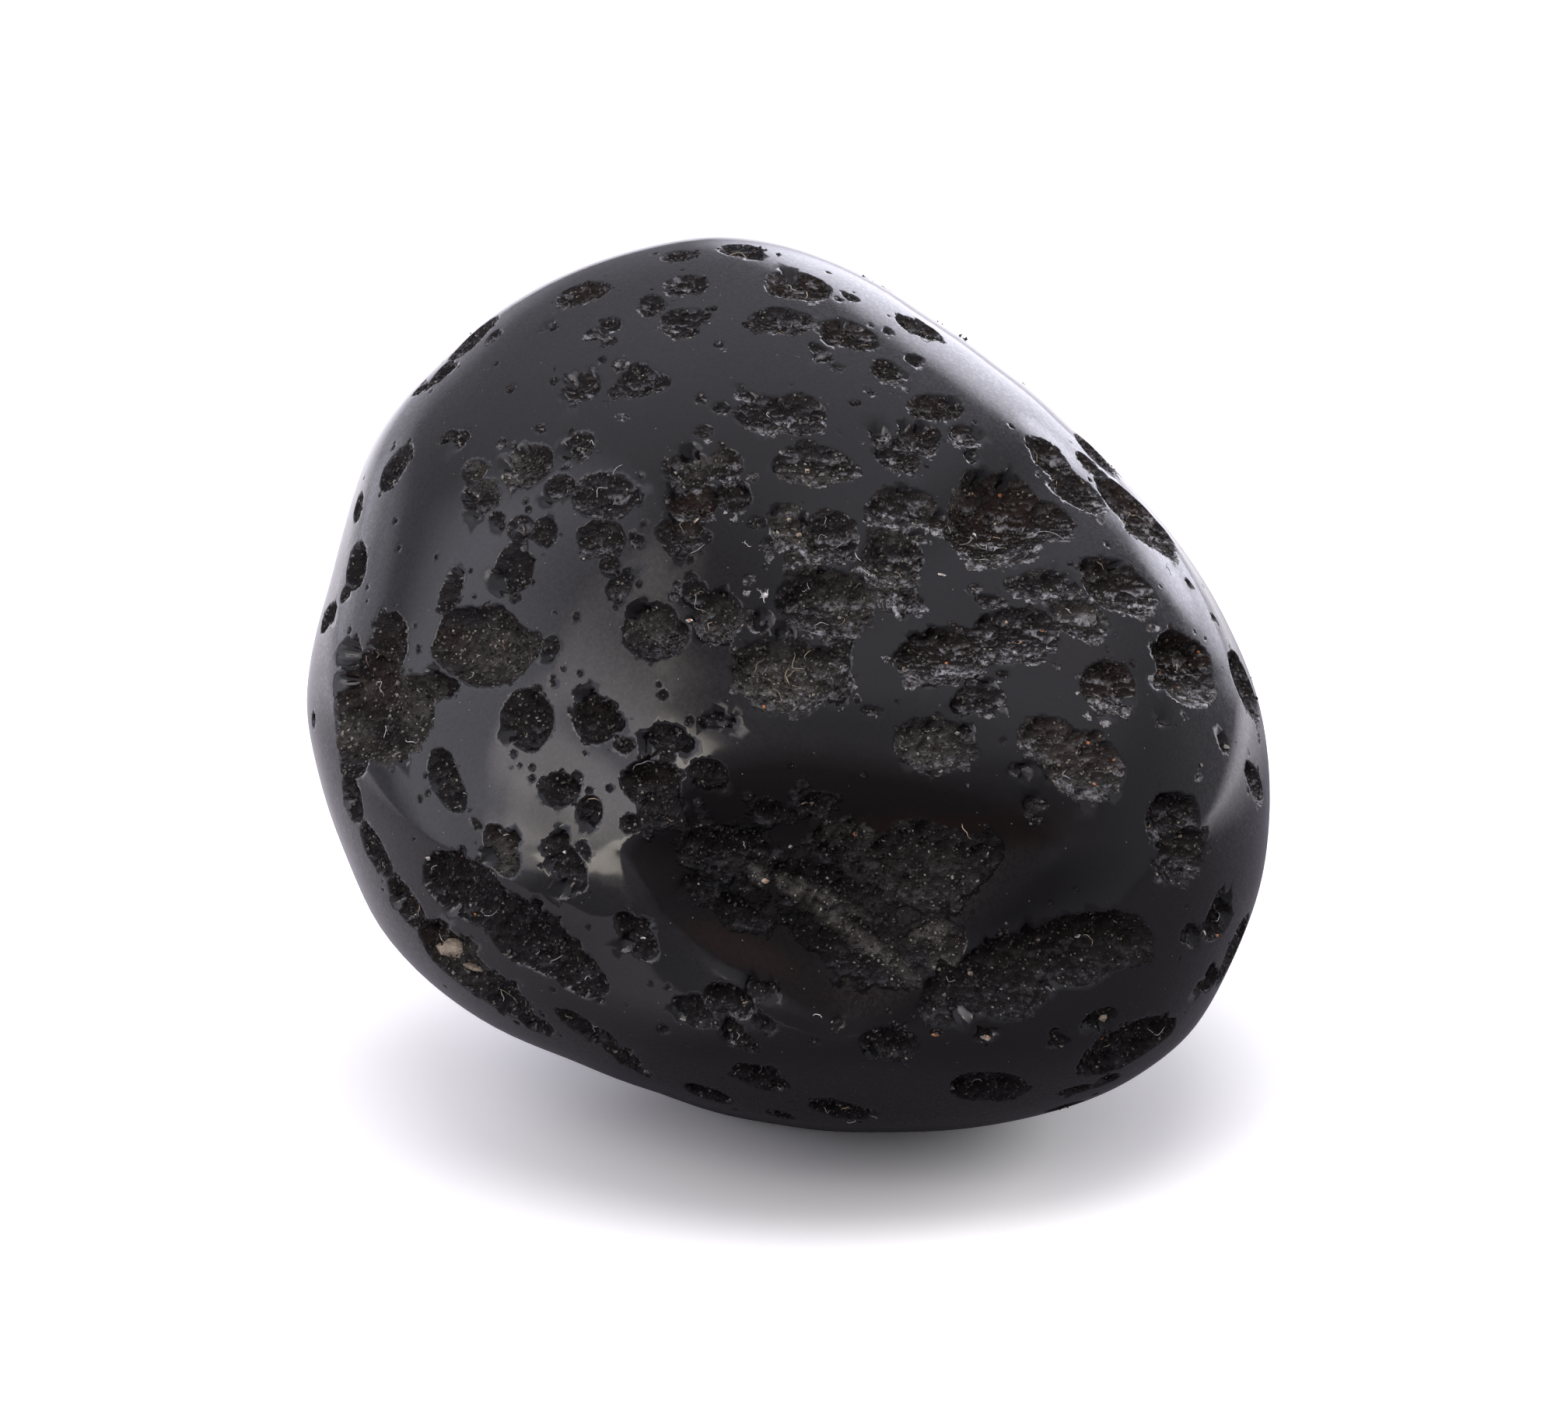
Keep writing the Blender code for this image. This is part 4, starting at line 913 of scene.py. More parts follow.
def make_crumbs(skin, name, shown, count, seed):
    """Broken glass and dust on the floors of the pits, as one piece."""
    chance = np.random.default_rng(seed)
    floors = np.flatnonzero((skin.inside > CRUMB_INSET) & (skin.shown == shown))
    numbers = chance.choice(floors, count)
    small, large = CRUMB_SIZES
    size = small + (large - small) * chance.random(count) ** 3
    corners = np.array([[1, 0, 0], [-1, 0, 0], [0, 1, 0], [0, -1, 0], [0, 0, 1], [0, 0, -1.0]])
    faces = np.array([[0, 2, 4], [2, 1, 4], [1, 3, 4], [3, 0, 4],
                      [2, 0, 5], [1, 2, 5], [3, 1, 5], [0, 3, 5]])
    shapes = corners * chance.uniform(*CRUMB_SPOKES, (count, 6, 1))
    shapes *= chance.uniform(*CRUMB_STRETCH, (count, 1, 3)) * size[:, None, None]
    shapes = np.einsum("nij,nkj->nki", turns(chance, count), shapes)
    places = skin.corners[numbers] / MM + chance.normal(0, CRUMB_SCATTER, (count, 3))
    places += skin.normals[numbers] * (size * chance.uniform(*CRUMB_LIFT, count))[:, None]
    pale = chance.random(count) < PALE_CHANCE * skin.paleness(numbers)
    kind = np.where(pale, chance.uniform(0.5, 1, count), chance.uniform(0, 0.5, count))
    return new_piece(name, (shapes + places[:, None]).reshape(-1, 3) * MM,
                     (faces[None] + 6 * np.arange(count)[:, None, None]).reshape(-1, 3),
                     {"kind": np.repeat(kind, 6),
                      "crust_and_shade": np.repeat(skin.crust_and_shade_share[numbers], 6)})


def lint_path(skin, start, end, chance):
    """Points of one thread that lies on the skin between two of its corners."""
    first, last = skin.corners[start] / MM, skin.corners[end] / MM
    lift = skin.normals[start] + skin.normals[end]
    lift /= np.linalg.norm(lift)
    aside = np.cross(last - first, lift)
    bend, arch = chance.uniform(-LINT_BEND, LINT_BEND), chance.uniform(*LINT_ARCH)
    waver = chance.uniform(-LINT_WAVER, LINT_WAVER)
    length = np.linalg.norm(last - first)
    return [first + (last - first) * along + aside * (bend * math.sin(math.pi * along)
            + waver * math.sin(3 * math.pi * along))
            + lift * (LINT_LIFT + arch * length * math.sin(math.pi * along))
            for along in np.linspace(0, 1, LINT_POINTS)]


def tube(path, radius):
    """Corners and faces of a three-sided tube along a path."""
    corners, faces = [], []
    for number, point in enumerate(path):
        before, after = path[max(number - 1, 0)], path[min(number + 1, len(path) - 1)]
        forward = Vector(after - before).normalized()
        side = forward.orthogonal().normalized()
        slim = radius * (LINT_TIP if number in (0, len(path) - 1) else 1)
        for corner in range(3):
            spoke = Matrix.Rotation(corner * TURN / 3, 3, forward) @ side
            corners.append(Vector(point) + spoke * slim)
    for number in range(len(path) - 1):
        for corner in range(3):
            a, b = 3 * number + corner, 3 * number + (corner + 1) % 3
            faces += [(a, b, b + 3), (a, b + 3, a + 3)]
    end = 3 * (len(path) - 1)
    return corners, faces + [(0, 2, 1), (end, end + 1, end + 2)]


def make_lint(skin):
    """Threads of lint caught on the stone, as one piece."""
    chance = random.Random(SEED + 7)
    ends = [(skin.under(a, b), skin.under(c, d), warm) for a, b, c, d, warm in LINT]
    floors = np.flatnonzero(skin.inside > LINT_INSET)
    tree = search_tree(skin.corners / MM, floors)
    for _ in range(STRAY_LINT):
        start = int(floors[chance.randrange(len(floors))])
        toward = Vector([chance.gauss(0, STRAY_LINT_REACH) for _ in range(3)])
        _, end, _ = tree.find(Vector(skin.corners[start] / MM) + toward)
        if end != start:
            ends.append((start, end, chance.random() < WARM_CHANCE))
    corners, faces, kinds = [], [], []
    for start, end, warm in ends:
        radius = LINT_RADIUS * chance.uniform(*LINT_THICKNESS)
        new_corners, new_faces = tube(lint_path(skin, start, end, chance), radius)
        faces += [[corner + len(corners) for corner in face] for face in new_faces]
        corners += new_corners
        kinds += [float(warm)] * len(new_corners)
    return new_piece("lint", np.array(corners) * MM, np.array(faces), {"kind": kinds})


def make_grains(skin):
    """The larger grains, each a small broken block, as one piece."""
    chance = random.Random(SEED + 9)
    form = bmesh.new()
    kinds = []
    for across, up, length, width, kind in GRAINS:
        number = skin.under(across, up)
        normal = Vector(skin.normals[number])
        side = Vector((1, 0, 0)).cross(normal).normalized()
        sizes = (length / 2, width / 2, GRAIN_THICKNESS * width)
        middle = Vector(skin.corners[number] / MM) + normal * GRAIN_LIFT * sizes[2]
        axes = (side.cross(normal), side, normal)
        spots = []
        for _ in range(GRAIN_CORNERS):
            spoke = Vector([chance.gauss(0, 1) for _ in range(3)]).normalized()
            spoke *= chance.uniform(*GRAIN_SPOKES)
            place = middle + sum((axis * spoke[n] * sizes[n] for n, axis in enumerate(axes)),
                                 Vector())
            spots.append(form.verts.new(place * MM))
        hull = bmesh.ops.convex_hull(form, input=spots)
        loose = [item for item in hull["geom_interior"] + hull["geom_unused"]
                 if isinstance(item, bmesh.types.BMVert)]
        bmesh.ops.delete(form, geom=list(set(loose)), context="VERTS")
        kinds += [kind / WHITE] * (len(form.verts) - len(kinds))
    mesh = bpy.data.meshes.new("grains")
    form.to_mesh(mesh)
    form.free()
    tell(mesh, "kind", kinds)
    return new_object("grains", mesh)


# ================================================================= materials
RELIEF = 0.3                # mm from the deepest to the highest of the pits' own relief
CUP_SIZE, NICK_SIZE = 0.85, 0.34
LIP = (0.26, 0.40)          # how far below a cup's middle its lip, which takes the painted highlight, starts and is full, in cups
NICK_LIP = 0.5              # how bright the painted highlight on the nicks' lips is, against the cups'
LEDGE_GAP = 0.15            # mm between the ledges along the lower rims
LEDGE_WANDER = 5.0          # how far noise throws them, in gaps
LEDGE = (0.36, 0.48)        # where each starts and is full, in gaps
CUP_HEIGHT, NICK_HEIGHT, GRIT_HEIGHT, LEDGE_HEIGHT = 1.6, 0.8, 0.7, 0.3
GRIT = (0.08, 4.0, 0.75)    # size in mm, detail and roughness of the finest relief
LIGHT_WAY = (-0.1, 0.25, 0.96)  # worn edges facing this way get the palest painted highlight, crannies turned from it painted shade
DOWNWARD = (0.0, -0.3, -0.954)  # the way to the lower side of a cup in a pit's floor

# What the floors' colours follow: from this value to that, and the share at each of them.
BROWN_CLOUDS = (0.4, 0.7, 0, 0.45)      # of brown, by noise
BROWN_FALL = (-0.1, 0.6, 1, 0.15)       # of brown that is left further down a pit
UNLIT_FALL, UNLIT_LIGHT = (-0.2, 0.7), (0.05, 0.5, 0.6, 0)  # of painted shade, by fall and light
DUST_CLOUDS = (0.35, 0.6, 0.3, 1)
CRANNY_SHADE_TURN = (-0.45, 0.05, 0.85, 0)    # of the crannies' painted shade, by how relief turns to light
EDGE_TURN = (-0.05, 0.18)               # of the painted highlight on the worn edges, by the same
# Painted highlight on the worn edges and lips: its patches, its fade inside the rims, and its
# share by fall.
WEAR_HIGHLIGHT_CLOUDS = (0.42, 0.60, 0.05, 1)
RIM_WEAR_HIGHLIGHT = (0.8, 1.35, 1, 0)            # by the distance inside the rim, thrown about
RIM_HIGHLIGHT_THROW = 0.9
LIP_FALL = (-0.5, 0.5, 0.1, 1)          # of the painted highlight on the lips, by fall
LIP_HIGHLIGHT = 0.95
# How much painted shade darkens the pits' floors in the dark hollow.
HOLLOW_SHADE_SHARE = 0.9
# A cell holds a speck of dust when its random number is above about this, which is a
# little more often where it is dusty and less often in the crust.
SPECK_CHANCE, SPECK_DUSTY, SPECK_CRUSTED = (0.972, 0.986), 0.05, 0.012

# How far the pits' broken glass reaches out over the polish, mm: frayed everywhere, more
# in the crust and on the lower rims.
FRAY = (0.25, 0.75, -0.1, 0.1)
CRUST_FRAY = (0.3, 0.7, -0.35, 0.75)
LOWER_FRAY = (0.35, 0.65, -0.1, 0.28)
LOWER_RIM = (0.15, 0.6)     # the fall at which a rim starts to be a lower one, and is one
BREAK_SOFTNESS = (0.012, 0.3)       # of the edge between them, elsewhere and in the crust
SKIN_SPECK, SKIN_SPECK_CHANCE = (0.28, 0.2), (0.993, 0.995)
HOLLOW_STARTS = (0.01, 0.12)        # share of the crust at which the polish is being lost

GLASS_IOR = 1.5
BODY_SPECULAR = 0.12        # of the glass under the polish
POLISH_ROUGHNESS = 0.09
HOLLOW_POLISH = 0.06        # how much of the polish is left in the dark hollow
FLOOR_DUST_SIZE, SKIN_DUST_SIZE, GLITTER_SIZE = 0.085, 0.1, 0.11
# Roughness from and to: over the floors' facets by chance, the crumbs by their kind, and
# the threads and grains by noise.
GLITTER, CRUMB_GLOSS = (0.3, 0.75), (0.3, 0.6, 0.28, 0.7)
THREAD_GLOSS, GRAIN_GLOSS = (0.6, 0.9), (0.4, 0.8)

# Colours of the glass under the polish: elsewhere, in the dark hollow, where it is darkened as
# painted shade, and where it glows.
GLASS, SHADED_HOLLOW_GLASS = (0.0050, 0.0044, 0.0046, 1), (0.0031, 0.0026, 0.0025, 1)
GLOWING_GLASS = (0.0105, 0.0052, 0.0040, 1)
SKIN_DUST = (0.16, 0.16, 0.155, 1)
# Colours of the broken glass in the pits, with painted shade where they are unlit, in the dark
# hollow and in the crannies, and the worn edges' painted highlight.
GREY_FLOOR, BROWN_FLOOR = (0.033, 0.0312, 0.0325, 1), (0.044, 0.030, 0.0255, 1)
UNLIT_FLOOR, SHADED_CRUST_FLOOR = (0.006, 0.005, 0.005, 1), (0.0080, 0.0074, 0.0073, 1)
DUSTY_FLOOR, CRANNY_SHADE = (0.16, 0.146, 0.130, 1), (0.007, 0.0055, 0.005, 1)
WORN_EDGE_HIGHLIGHT = (0.70, 0.69, 0.73, 1)
DARK_SPECK, PALE_SPECK = (0.08, 0.07, 0.06, 1), (0.45, 0.41, 0.35, 1)
# Colours by the kind that crumbs, threads and grains tell: where each starts, and the colour.
CRUMB_COLOURS = [
    (0, (0.018, 0.0155, 0.0145)), (0.3, (0.040, 0.035, 0.032)), (0.46, (0.08, 0.07, 0.062)),
    (0.56, (0.15, 0.138, 0.122)), (0.82, (0.30, 0.275, 0.24)), (0.95, (0.55, 0.50, 0.42)),
    (0.985, (0.45, 0.17, 0.05)),
]
# Crumbs' cloudy mottle, and the painted shade that darkens the crumbs in the dark hollow.
CRUMB_CLOUDS, CRUMB_HOLLOW_SHADE = (0.3, 0.7, 0, 0.5), 0.65
CRUMB_MOTTLE, SHADED_HOLLOW_CRUMB = (0.03, 0.026, 0.024, 1), (0.006, 0.005, 0.0045, 1)
THREAD_COLOURS = [(0, (0.62, 0.62, 0.64)), (0.5, (0.50, 0.38, 0.25))]
THREAD_CLOUDS, WORN_THREAD = (0.3, 0.7), (0.25, 0.22, 0.19, 1)
GRAIN_COLOURS = [
    (0, (0.26, 0.25, 0.23)), (0.2, (0.42, 0.35, 0.26)), (0.5, (0.50, 0.17, 0.05)),
    (0.8, (0.72, 0.71, 0.70)),
]
GRAIN_CLOUDS, CLOUDED_GRAIN = (0.35, 0.7), (0.13, 0.10, 0.08, 1)


def feed(made, values):
    """Set or link a node's inputs, by name or number."""
    for name, value in values.items():
        value = value.socket if isinstance(value, Number) else value
        if isinstance(value, bpy.types.NodeSocket):
            made.id_data.links.new(value, made.inputs[name])
        else:
            made.inputs[name].default_value = value


def node(tree, kind, values=None, **settings):
    """A new node with its settings, and its inputs set or linked."""
    made = tree.nodes.new(kind)
    for name, value in settings.items():
        setattr(made, name, value)
    feed(made, values or {})
    return made


class Number:
    """A number that a node gives, on which further sums are written as usual."""

    def __init__(self, socket):
        self.socket = socket

    def sum_with(self, operation, other):
        """This number and another, put through one operation."""
        return Number(node(self.socket.id_data, "ShaderNodeMath", {0: self, 1: other},
                           operation=operation).outputs[0])

    def __add__(self, other):
        return self.sum_with("ADD", other)

    def __sub__(self, other):
        return self.sum_with("SUBTRACT", other)

    def __mul__(self, other):
        return self.sum_with("MULTIPLY", other)

    def __truediv__(self, other):
        return self.sum_with("DIVIDE", other)

    def mapped(self, low, high, to_low=0.0, to_high=1.0, soft=False):
        """This number carried from one range to another, and kept within it."""
        return Number(node(self.socket.id_data, "ShaderNodeMapRange",
                           {"Value": self, "From Min": low, "From Max": high,
                            "To Min": to_low, "To Max": to_high},
                           interpolation_type="SMOOTHSTEP" if soft else "LINEAR").outputs[0])

    def blend(self, first, second):
        """A colour mixed from two, with this number as the second one's share."""
        return node(self.socket.id_data, "ShaderNodeMix",
                    {"Factor": self, 6: first, 7: second}, data_type="RGBA").outputs[2]


def larger(first, second):
    """The larger of two numbers."""
    return first.sum_with("MAXIMUM", second)


def towards(direction, way):
    """How far a direction goes one way."""
    return Number(node(direction.id_data, "ShaderNodeVectorMath", {0: direction, 1: way},
                       operation="DOT_PRODUCT").outputs["Value"])


def stepped(number, steps):
    """A colour that jumps at each step: pairs of where it starts and its colour."""
    ramp = node(number.socket.id_data, "ShaderNodeValToRGB", {0: number})
    ramp.color_ramp.interpolation = "CONSTANT"
    points = ramp.color_ramp.elements
    for place, (start, colour) in enumerate(steps):
        point = points[place] if place < len(points) else points.new(start)
        point.position, point.color = start, (*colour, 1)
    return ramp.outputs["Color"]


class Weave:
    """A material's node tree, with the textures that this scene makes its colours from."""

    def __init__(self, name):
        self.material = bpy.data.materials.new(name)
        self.material.use_nodes = True
        self.tree = self.material.node_tree
        self.shader = self.tree.nodes["Principled BSDF"]
        self.shader.inputs["IOR"].default_value = GLASS_IOR
        self.where = node(self.tree, "ShaderNodeTexCoord").outputs["Object"]

    def noise(self, size, detail=3.0, rough=0.6):
        """Cloudy noise whose features are about this many millimetres."""
        return Number(node(self.tree, "ShaderNodeTexNoise",
                           {"Vector": self.where, "Scale": 1 / (size * MM),
                            "Detail": detail, "Roughness": rough}).outputs["Fac"])

    def cells(self, size):
        """What is known of the cell, about this many millimetres wide, that a place is in."""
        return node(self.tree, "ShaderNodeTexVoronoi",
                    {"Vector": self.where, "Scale": 1 / (size * MM)}).outputs

    def cups(self, size):
        """Shallow cups of about this size: their height, and the lips of their lower sides,
        which take the painted highlight.
        """
        spots = self.cells(size)
        offset = node(self.tree, "ShaderNodeVectorMath",
                      {0: self.where, 1: spots["Position"]},
                      operation="SUBTRACT").outputs["Vector"]
        below = towards(offset, DOWNWARD) * (1 / (size * MM))
        return Number(spots["Distance"]), below.mapped(*LIP)

    def chances(self, size):
        """Three random numbers for each cell."""
        colour = self.cells(size)["Color"]
        parts = node(self.tree, "ShaderNodeSeparateColor", {0: colour}).outputs
        return [Number(part) for part in parts]

    def told(self, attribute):
        """A number that the mesh tells for each corner."""
        return Number(node(self.tree, "ShaderNodeAttribute",
                           attribute_name=attribute).outputs["Fac"])

    def bumped(self, height, distance):
        """The surface's direction with relief of the given height in millimetres."""
        return node(self.tree, "ShaderNodeBump",
                    {"Height": height, "Distance": distance * MM, "Strength": 1.0}
                    ).outputs["Normal"]

    def finished(self, colour, roughness, height, distance):
        """The material, once its colour, roughness and relief are linked."""
        feed(self.shader, {"Base Color": colour, "Roughness": roughness,
                           "Normal": self.bumped(height, distance)})
        return self.material


def floor_relief(weave, low):
    """Height of the pits' own relief, and the lips and ledges that get the palest painted
    highlight in it.
    """
    cups, cup_lips = weave.cups(CUP_SIZE)
    nicks, nick_lips = weave.cups(NICK_SIZE)
    wandering = weave.told("inside") / LEDGE_GAP + weave.noise(0.5) * LEDGE_WANDER
    ledge = wandering.sum_with("PINGPONG", 0.5).mapped(*LEDGE) * low
    grit = weave.noise(*GRIT)
    height = (cups * CUP_HEIGHT + (nicks * NICK_HEIGHT + grit * GRIT_HEIGHT)
              + ledge * LEDGE_HEIGHT)
    return height, larger(cup_lips, nick_lips * NICK_LIP), ledge


def rough_glass(weave, low):
    """The floors of the pits: height of their relief, and colour with painted shade and painted
    highlight.
    """
    fall, lit, crust_and_shade = (weave.told(name) for name in ("fall", "lit", "crust_and_shade"))
    dusty = weave.told("dusty")
    height, lips, ledge = floor_relief(weave, low)
    plain = node(weave.tree, "ShaderNodeNewGeometry").outputs["Normal"]
    turned = towards(weave.bumped(height, RELIEF), LIGHT_WAY) - towards(plain, LIGHT_WAY)

    # Brown above, grey below, painted shade low in the pits where the light doesn't reach and
    # in the dark hollow, and dusty where the patches say.
    brown = larger(weave.told("brown"), weave.noise(2.6).mapped(*BROWN_CLOUDS))
    brown = brown * fall.mapped(*BROWN_FALL)
    unlit = fall.mapped(*UNLIT_FALL) * lit.mapped(*UNLIT_LIGHT)
    glassy = unlit.blend(brown.blend(GREY_FLOOR, BROWN_FLOOR), UNLIT_FLOOR)
    glassy = (crust_and_shade * HOLLOW_SHADE_SHARE).blend(glassy, SHADED_CRUST_FLOOR)
    dusted = dusty * weave.noise(0.35).mapped(*DUST_CLOUDS)
    glassy = dusted.blend(glassy, DUSTY_FLOOR)
    # Painted shade in the crannies, where the relief turns from the light.
    glassy = turned.mapped(*CRANNY_SHADE_TURN).blend(glassy, CRANNY_SHADE)

    # Worn edges with a painted highlight where they face the light: everywhere a little, and as
    # pale scratchy crescents on the lower rims.
    patchy = weave.noise(0.28, 4.0, 0.7).mapped(*WEAR_HIGHLIGHT_CLOUDS)
    thrown = weave.told("inside") + weave.noise(0.8) * RIM_HIGHLIGHT_THROW
    rim_highlight = low * thrown.mapped(*RIM_WEAR_HIGHLIGHT) * larger(ledge, turned.mapped(*EDGE_TURN))
    lower = fall.mapped(*LIP_FALL) * lit
    worn_highlight = larger(rim_highlight, lips * lower * LIP_HIGHLIGHT) * patchy
    colour = worn_highlight.blend(glassy, WORN_EDGE_HIGHLIGHT)

    # Specks of dust.
    rare, tint, _ = weave.chances(FLOOR_DUST_SIZE)
    speck = rare + (dusty * SPECK_DUSTY - crust_and_shade * SPECK_CRUSTED)
    speck = speck.mapped(*SPECK_CHANCE)
    return height, speck.blend(colour, tint.blend(DARK_SPECK, PALE_SPECK))


def obsidian():
    """Black glass, polished as if varnished, and broken open into rough, sugary pits."""
    weave = Weave("obsidian")
    crust_and_shade, dulled = weave.told("crust_and_shade"), weave.told("dulled")
    low = weave.told("fall").mapped(*LOWER_RIM) * weave.told("lit")
    fray = weave.noise(0.22, 4.0, 0.7).mapped(*FRAY)
    fray = fray + crust_and_shade * weave.noise(0.9).mapped(*CRUST_FRAY)
    fray = fray + low * weave.noise(0.45).mapped(*LOWER_FRAY)
    softness = crust_and_shade.mapped(0, 1, *BREAK_SOFTNESS)
    broken = ((weave.told("inside") + fray) / softness).mapped(-1, 1, soft=True)
    # Painted shade: the glass under the polish is darker in the dark hollow.
    body = crust_and_shade.blend(GLASS, SHADED_HOLLOW_GLASS)
    body = weave.told("glow").mapped(0, 1).blend(body, GLOWING_GLASS)
    speck = Number(weave.cells(SKIN_DUST_SIZE)["Distance"]).mapped(*SKIN_SPECK)
    speck = speck * weave.chances(SKIN_DUST_SIZE)[0].mapped(*SKIN_SPECK_CHANCE)
    body = speck.blend(body, SKIN_DUST)
    height, floor = rough_glass(weave, low)
    unworn = broken.mapped(0, 1, 1, 0) * crust_and_shade.mapped(*HOLLOW_STARTS, 1, HOLLOW_POLISH)
    feed(weave.shader, {"Specular IOR Level": BODY_SPECULAR,
                        "Coat Roughness": POLISH_ROUGHNESS,
                        "Coat Weight": unworn * dulled.mapped(0, 1, 1, 0)})
    glitter = weave.chances(GLITTER_SIZE)[2].mapped(0, 1, *GLITTER)
    return weave.finished(broken.blend(body, floor), glitter, height * broken, RELIEF)


def broken_glass():
    """The crumbs: mostly black glass, some grey or brown with dust, a few rusty, and darkened
    by painted shade in the dark hollow.
    """
    weave = Weave("broken_glass")
    kind = weave.told("kind")
    mottled = weave.noise(0.05).mapped(*CRUMB_CLOUDS).blend(
        stepped(kind, CRUMB_COLOURS), CRUMB_MOTTLE)
    # Painted shade: crumbs in the dark hollow are darker.
    mottled = (weave.told("crust_and_shade") * CRUMB_HOLLOW_SHADE).blend(mottled, SHADED_HOLLOW_CRUMB)
    return weave.finished(mottled, kind.mapped(*CRUMB_GLOSS), weave.noise(0.04), 0.02)


def thread():
    """Lint: pale, or warm and brownish."""
    weave = Weave("thread")
    worn = weave.noise(0.15).mapped(*THREAD_CLOUDS).blend(
        stepped(weave.told("kind"), THREAD_COLOURS), WORN_THREAD)
    return weave.finished(worn, weave.noise(0.3).mapped(0, 1, *THREAD_GLOSS),
                          weave.noise(0.03), 0.01)


def mineral():
    """The larger grains: grey, beige, rusty or white stone, cloudy and pitted."""
    weave = Weave("mineral")
    cloudy = weave.noise(0.3, 5.0).mapped(*GRAIN_CLOUDS)
    shaded = cloudy.blend(stepped(weave.told("kind"), GRAIN_COLOURS), CLOUDED_GRAIN)
    return weave.finished(shaded, cloudy.mapped(0, 1, *GRAIN_GLOSS),
                          weave.noise(0.12, 4.0), 0.06)


# ================================================================= light, floor, camera
# Soft patches of a light tent: azimuth and elevation in degrees, how many degrees from
# there each starts and is full, and how bright it is. Azimuth 0 is in front and 90 on the
# right. The warm ones have a colour of their own.
TENT = [
    (0, 90, 65, 25, 0.33), (-68, 27, 44, 24, 1.08), (-115, 15, 45, 20, 0.1),
    (160, 8, 24, 10, 2.1), (-132, 2, 20, 8, 0.5), (180, 45, 45, 15, 0.1),
    (-150, -4, 24, 8, 0.5), (70, 20, 60, 40, 0.10), (147, 13, 9, 3, 1.5),
]
WARM_TENT = [(-36, 37, 20, 8, 1.5), (-28, 54, 12, 5, 1.4)]
TENT_BASE = 0.2             # its brightness everywhere
TENT_COLOUR = (0.967, 0.957, 1.09, 1)
WARM_COLOUR = (1.06, 0.965, 0.92, 1)
SURROUND = 1.05             # brightness of the white behind it all, as the camera sees it
# Lamps: name, azimuth, elevation, metres away, size, watts, colour, mirrored in the polish.
LAMP_COLOUR = (1.0, 0.99, 1.0)
LAMPS = [
    ("warm_lamp", -20, 35, 0.5, 0.09, 0.08, (1.0, 0.93, 0.82), True),
    ("overhead", 0, 70, 0.5, 0.35, 1.3, LAMP_COLOUR, False),
    ("side_lamp", 100, 24, 0.6, 0.35, 1.65, LAMP_COLOUR, False),
    ("front_lamp", -5, 26, 0.6, 0.35, 0.75, LAMP_COLOUR, False),
]
SHEET_SEEN = (1.24, 1.23, 1.225, 1)         # the sheet is overexposed where the eye sees it
SHEET_SHADOW_LEFT = (0.43, 0.408, 0.435, 1)        # painted shadow near the stone on the left, as its polish shows it
SHEET_SHADOW_RIGHT = (0.118, 0.111, 0.125, 1)      # and the painted shadow on its right
SHEET_BEHIND = (1.2, 1.18, 1.20, 1)         # and out behind it
SHEET_TURNS = (0.05, 0.16)                  # between these distances behind the stone
SHEET_CROSSES = (-0.03, -0.008)             # and from the left to the right
SHEET_ROUGHNESS = 0.8
SHEET_HALF_WIDTH, SHEET_NEAR_EDGE, SHEET_FAR_EDGE = 1.5, -0.6, 1.9
CLIP_START = 0.01


def way_to(azimuth, elevation):
    """The direction from the stone to a place given in degrees."""
    turn, rise = math.radians(azimuth), math.radians(elevation)
    return Vector((math.sin(turn) * math.cos(rise), -math.cos(turn) * math.cos(rise),
                   math.sin(rise)))


def lit_from(way, patches, total):
    """The brightness seen each way: a total with these patches of the tent added."""
    for azimuth, elevation, starts, full, bright in patches:
        near, far = math.cos(math.radians(full)), math.cos(math.radians(starts))
        facing = towards(way, way_to(azimuth, elevation))
        total = facing.mapped(far, near, 0, bright, soft=True) + total
    return total


def make_world():
    """A white surround for the camera, and a soft light tent for everything else."""
    world = bpy.data.worlds.new("tent")
    bpy.context.scene.world = world
    world.use_nodes = True
    tree = world.node_tree
    tree.nodes.clear()
    way = node(tree, "ShaderNodeTexCoord").outputs["Generated"]
    warm = lit_from(way, WARM_TENT, 0)
    total = lit_from(way, TENT, warm + TENT_BASE)
    colour = (warm / total).blend(TENT_COLOUR, WARM_COLOUR)
    tent = node(tree, "ShaderNodeBackground", {"Color": colour, "Strength": total})
    white = node(tree, "ShaderNodeBackground", {"Color": (1, 1, 1, 1), "Strength": SURROUND})
    direct = node(tree, "ShaderNodeLightPath").outputs["Is Camera Ray"]
    both = node(tree, "ShaderNodeMixShader",
                {0: direct, 1: tent.outputs[0], 2: white.outputs[0]})
    node(tree, "ShaderNodeOutputWorld", {"Surface": both.outputs[0]})


def make_lamp(middle, name, azimuth, elevation, away, size, watts, colour, mirrored):
    """A round lamp that looks at the stone; the polish may not mirror it."""
    light = bpy.data.lights.new(name, "AREA")
    light.shape = "DISK"
    light.size = size
    light.energy = watts
    light.color = colour
    lamp = new_object(name, light)
    lamp.visible_glossy = mirrored
    toward = way_to(azimuth, elevation)
    lamp.location = middle + toward * away
    lamp.rotation_euler = (-toward).to_track_quat("-Z", "Y").to_euler()


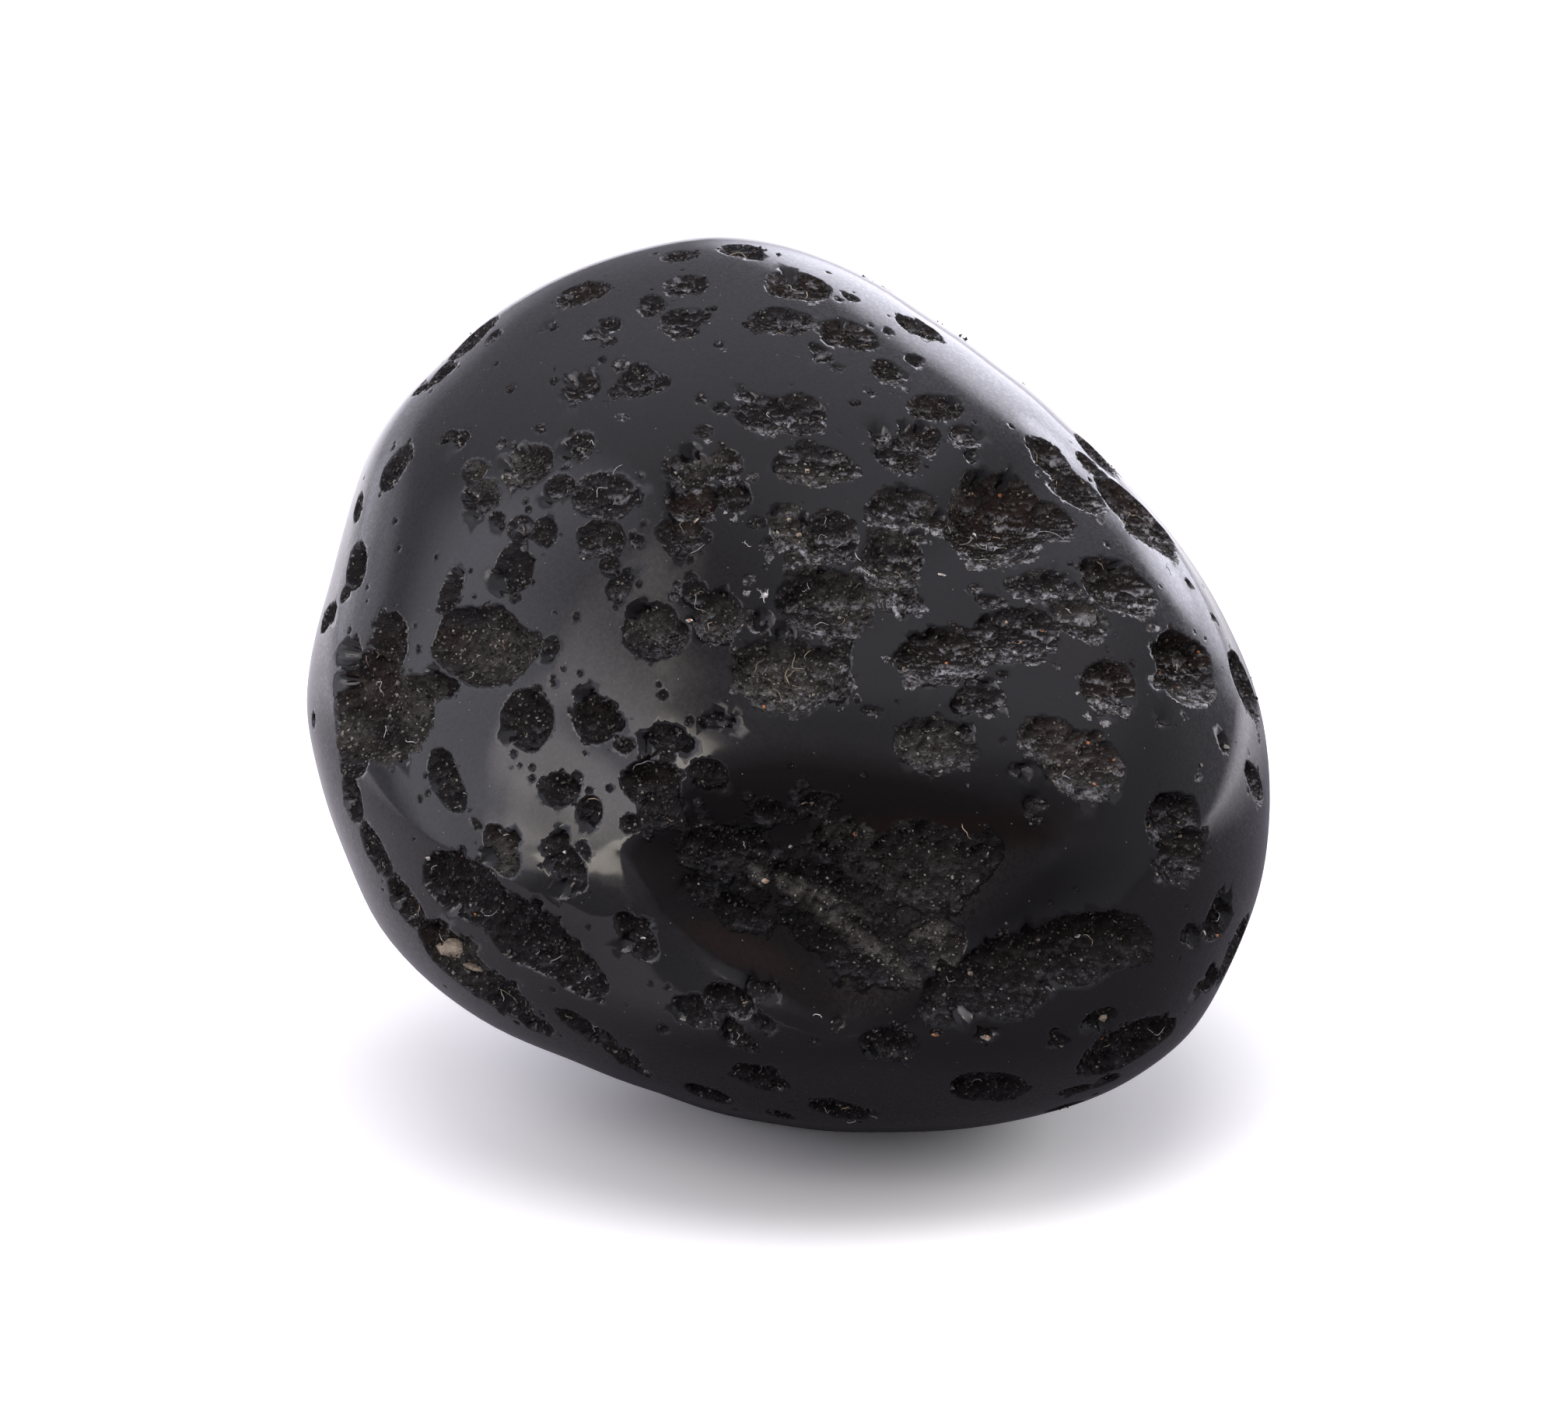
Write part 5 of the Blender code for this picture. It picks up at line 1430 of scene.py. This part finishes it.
def pale_sheet():
    """White for the camera, and for everything else dim with a painted shadow near the stone,
    as the polish shows it.
    """
    material = bpy.data.materials.new("pale_sheet")
    material.use_nodes = True
    tree = material.node_tree
    direct = Number(node(tree, "ShaderNodeLightPath").outputs["Is Camera Ray"])
    where = node(tree, "ShaderNodeTexCoord").outputs["Object"]
    across, away, _ = map(Number, node(tree, "ShaderNodeSeparateXYZ", {0: where}).outputs)
    # Painted shadow near the stone, darker on its right, for all rays but the camera's.
    near = across.mapped(*SHEET_CROSSES).blend(SHEET_SHADOW_LEFT, SHEET_SHADOW_RIGHT)
    mirrored = away.mapped(*SHEET_TURNS).blend(near, SHEET_BEHIND)
    feed(tree.nodes["Principled BSDF"], {"Base Color": direct.blend(mirrored, SHEET_SEEN),
                                         "Roughness": SHEET_ROUGHNESS})
    return material


def make_floor():
    """A pale sheet under the stone, plain to the camera, with a painted shadow near the stone
    in what the polish mirrors.
    """
    left, right = -SHEET_HALF_WIDTH, SHEET_HALF_WIDTH
    mesh = bpy.data.meshes.new("floor")
    mesh.from_pydata([(left, SHEET_NEAR_EDGE, 0), (right, SHEET_NEAR_EDGE, 0),
                      (right, SHEET_FAR_EDGE, 0), (left, SHEET_FAR_EDGE, 0)],
                     [], [(0, 1, 2, 3)])
    mesh.materials.append(pale_sheet())
    floor = new_object("floor", mesh)


def make_camera(middle):
    """The eye in front of the stone and a little above it."""
    near = Vector((0, -math.cos(EYE_RISE), math.sin(EYE_RISE)))
    up = Vector((0, math.sin(EYE_RISE), math.cos(EYE_RISE)))
    aim = middle + (Vector((AIM_ACROSS, 0, 0)) + up * AIM_UP) * MM
    camera = new_object("camera", bpy.data.cameras.new("camera"))
    camera.data.sensor_width = SENSOR
    camera.data.lens = SENSOR * EYE_DISTANCE / VIEW_WIDTH
    camera.data.clip_start = CLIP_START
    camera.location = middle + near * EYE_DISTANCE * MM
    camera.rotation_euler = (aim - camera.location).to_track_quat("-Z", "Y").to_euler()
    bpy.context.scene.camera = camera


def dress(piece, material):
    """Give a piece its material and let it move with the stone."""
    piece.data.materials.append(material)
    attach(piece, "root")


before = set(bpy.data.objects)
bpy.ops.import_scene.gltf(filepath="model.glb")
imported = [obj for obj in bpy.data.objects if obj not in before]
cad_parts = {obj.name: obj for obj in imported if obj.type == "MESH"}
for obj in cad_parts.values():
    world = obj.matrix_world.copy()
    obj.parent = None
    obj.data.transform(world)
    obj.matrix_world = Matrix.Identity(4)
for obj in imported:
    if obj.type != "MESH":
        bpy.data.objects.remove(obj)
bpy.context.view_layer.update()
skin = Skin()
dress(skin.piece, obsidian())
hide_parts("stone")
crumb_count = CRUMBS
glass = broken_glass()
dress(make_crumbs(skin, "crumbs_front", True, crumb_count, SEED + 11), glass)
dress(make_crumbs(skin, "crumbs_behind", False, crumb_count, SEED + 12), glass)
dress(make_lint(skin), thread())
dress(make_grains(skin), mineral())
middle = Vector(skin.middle)
make_camera(middle)
make_world()
for lamp in LAMPS:
    make_lamp(middle, *lamp)
make_floor()
bpy.context.scene.view_settings.view_transform = "Standard"
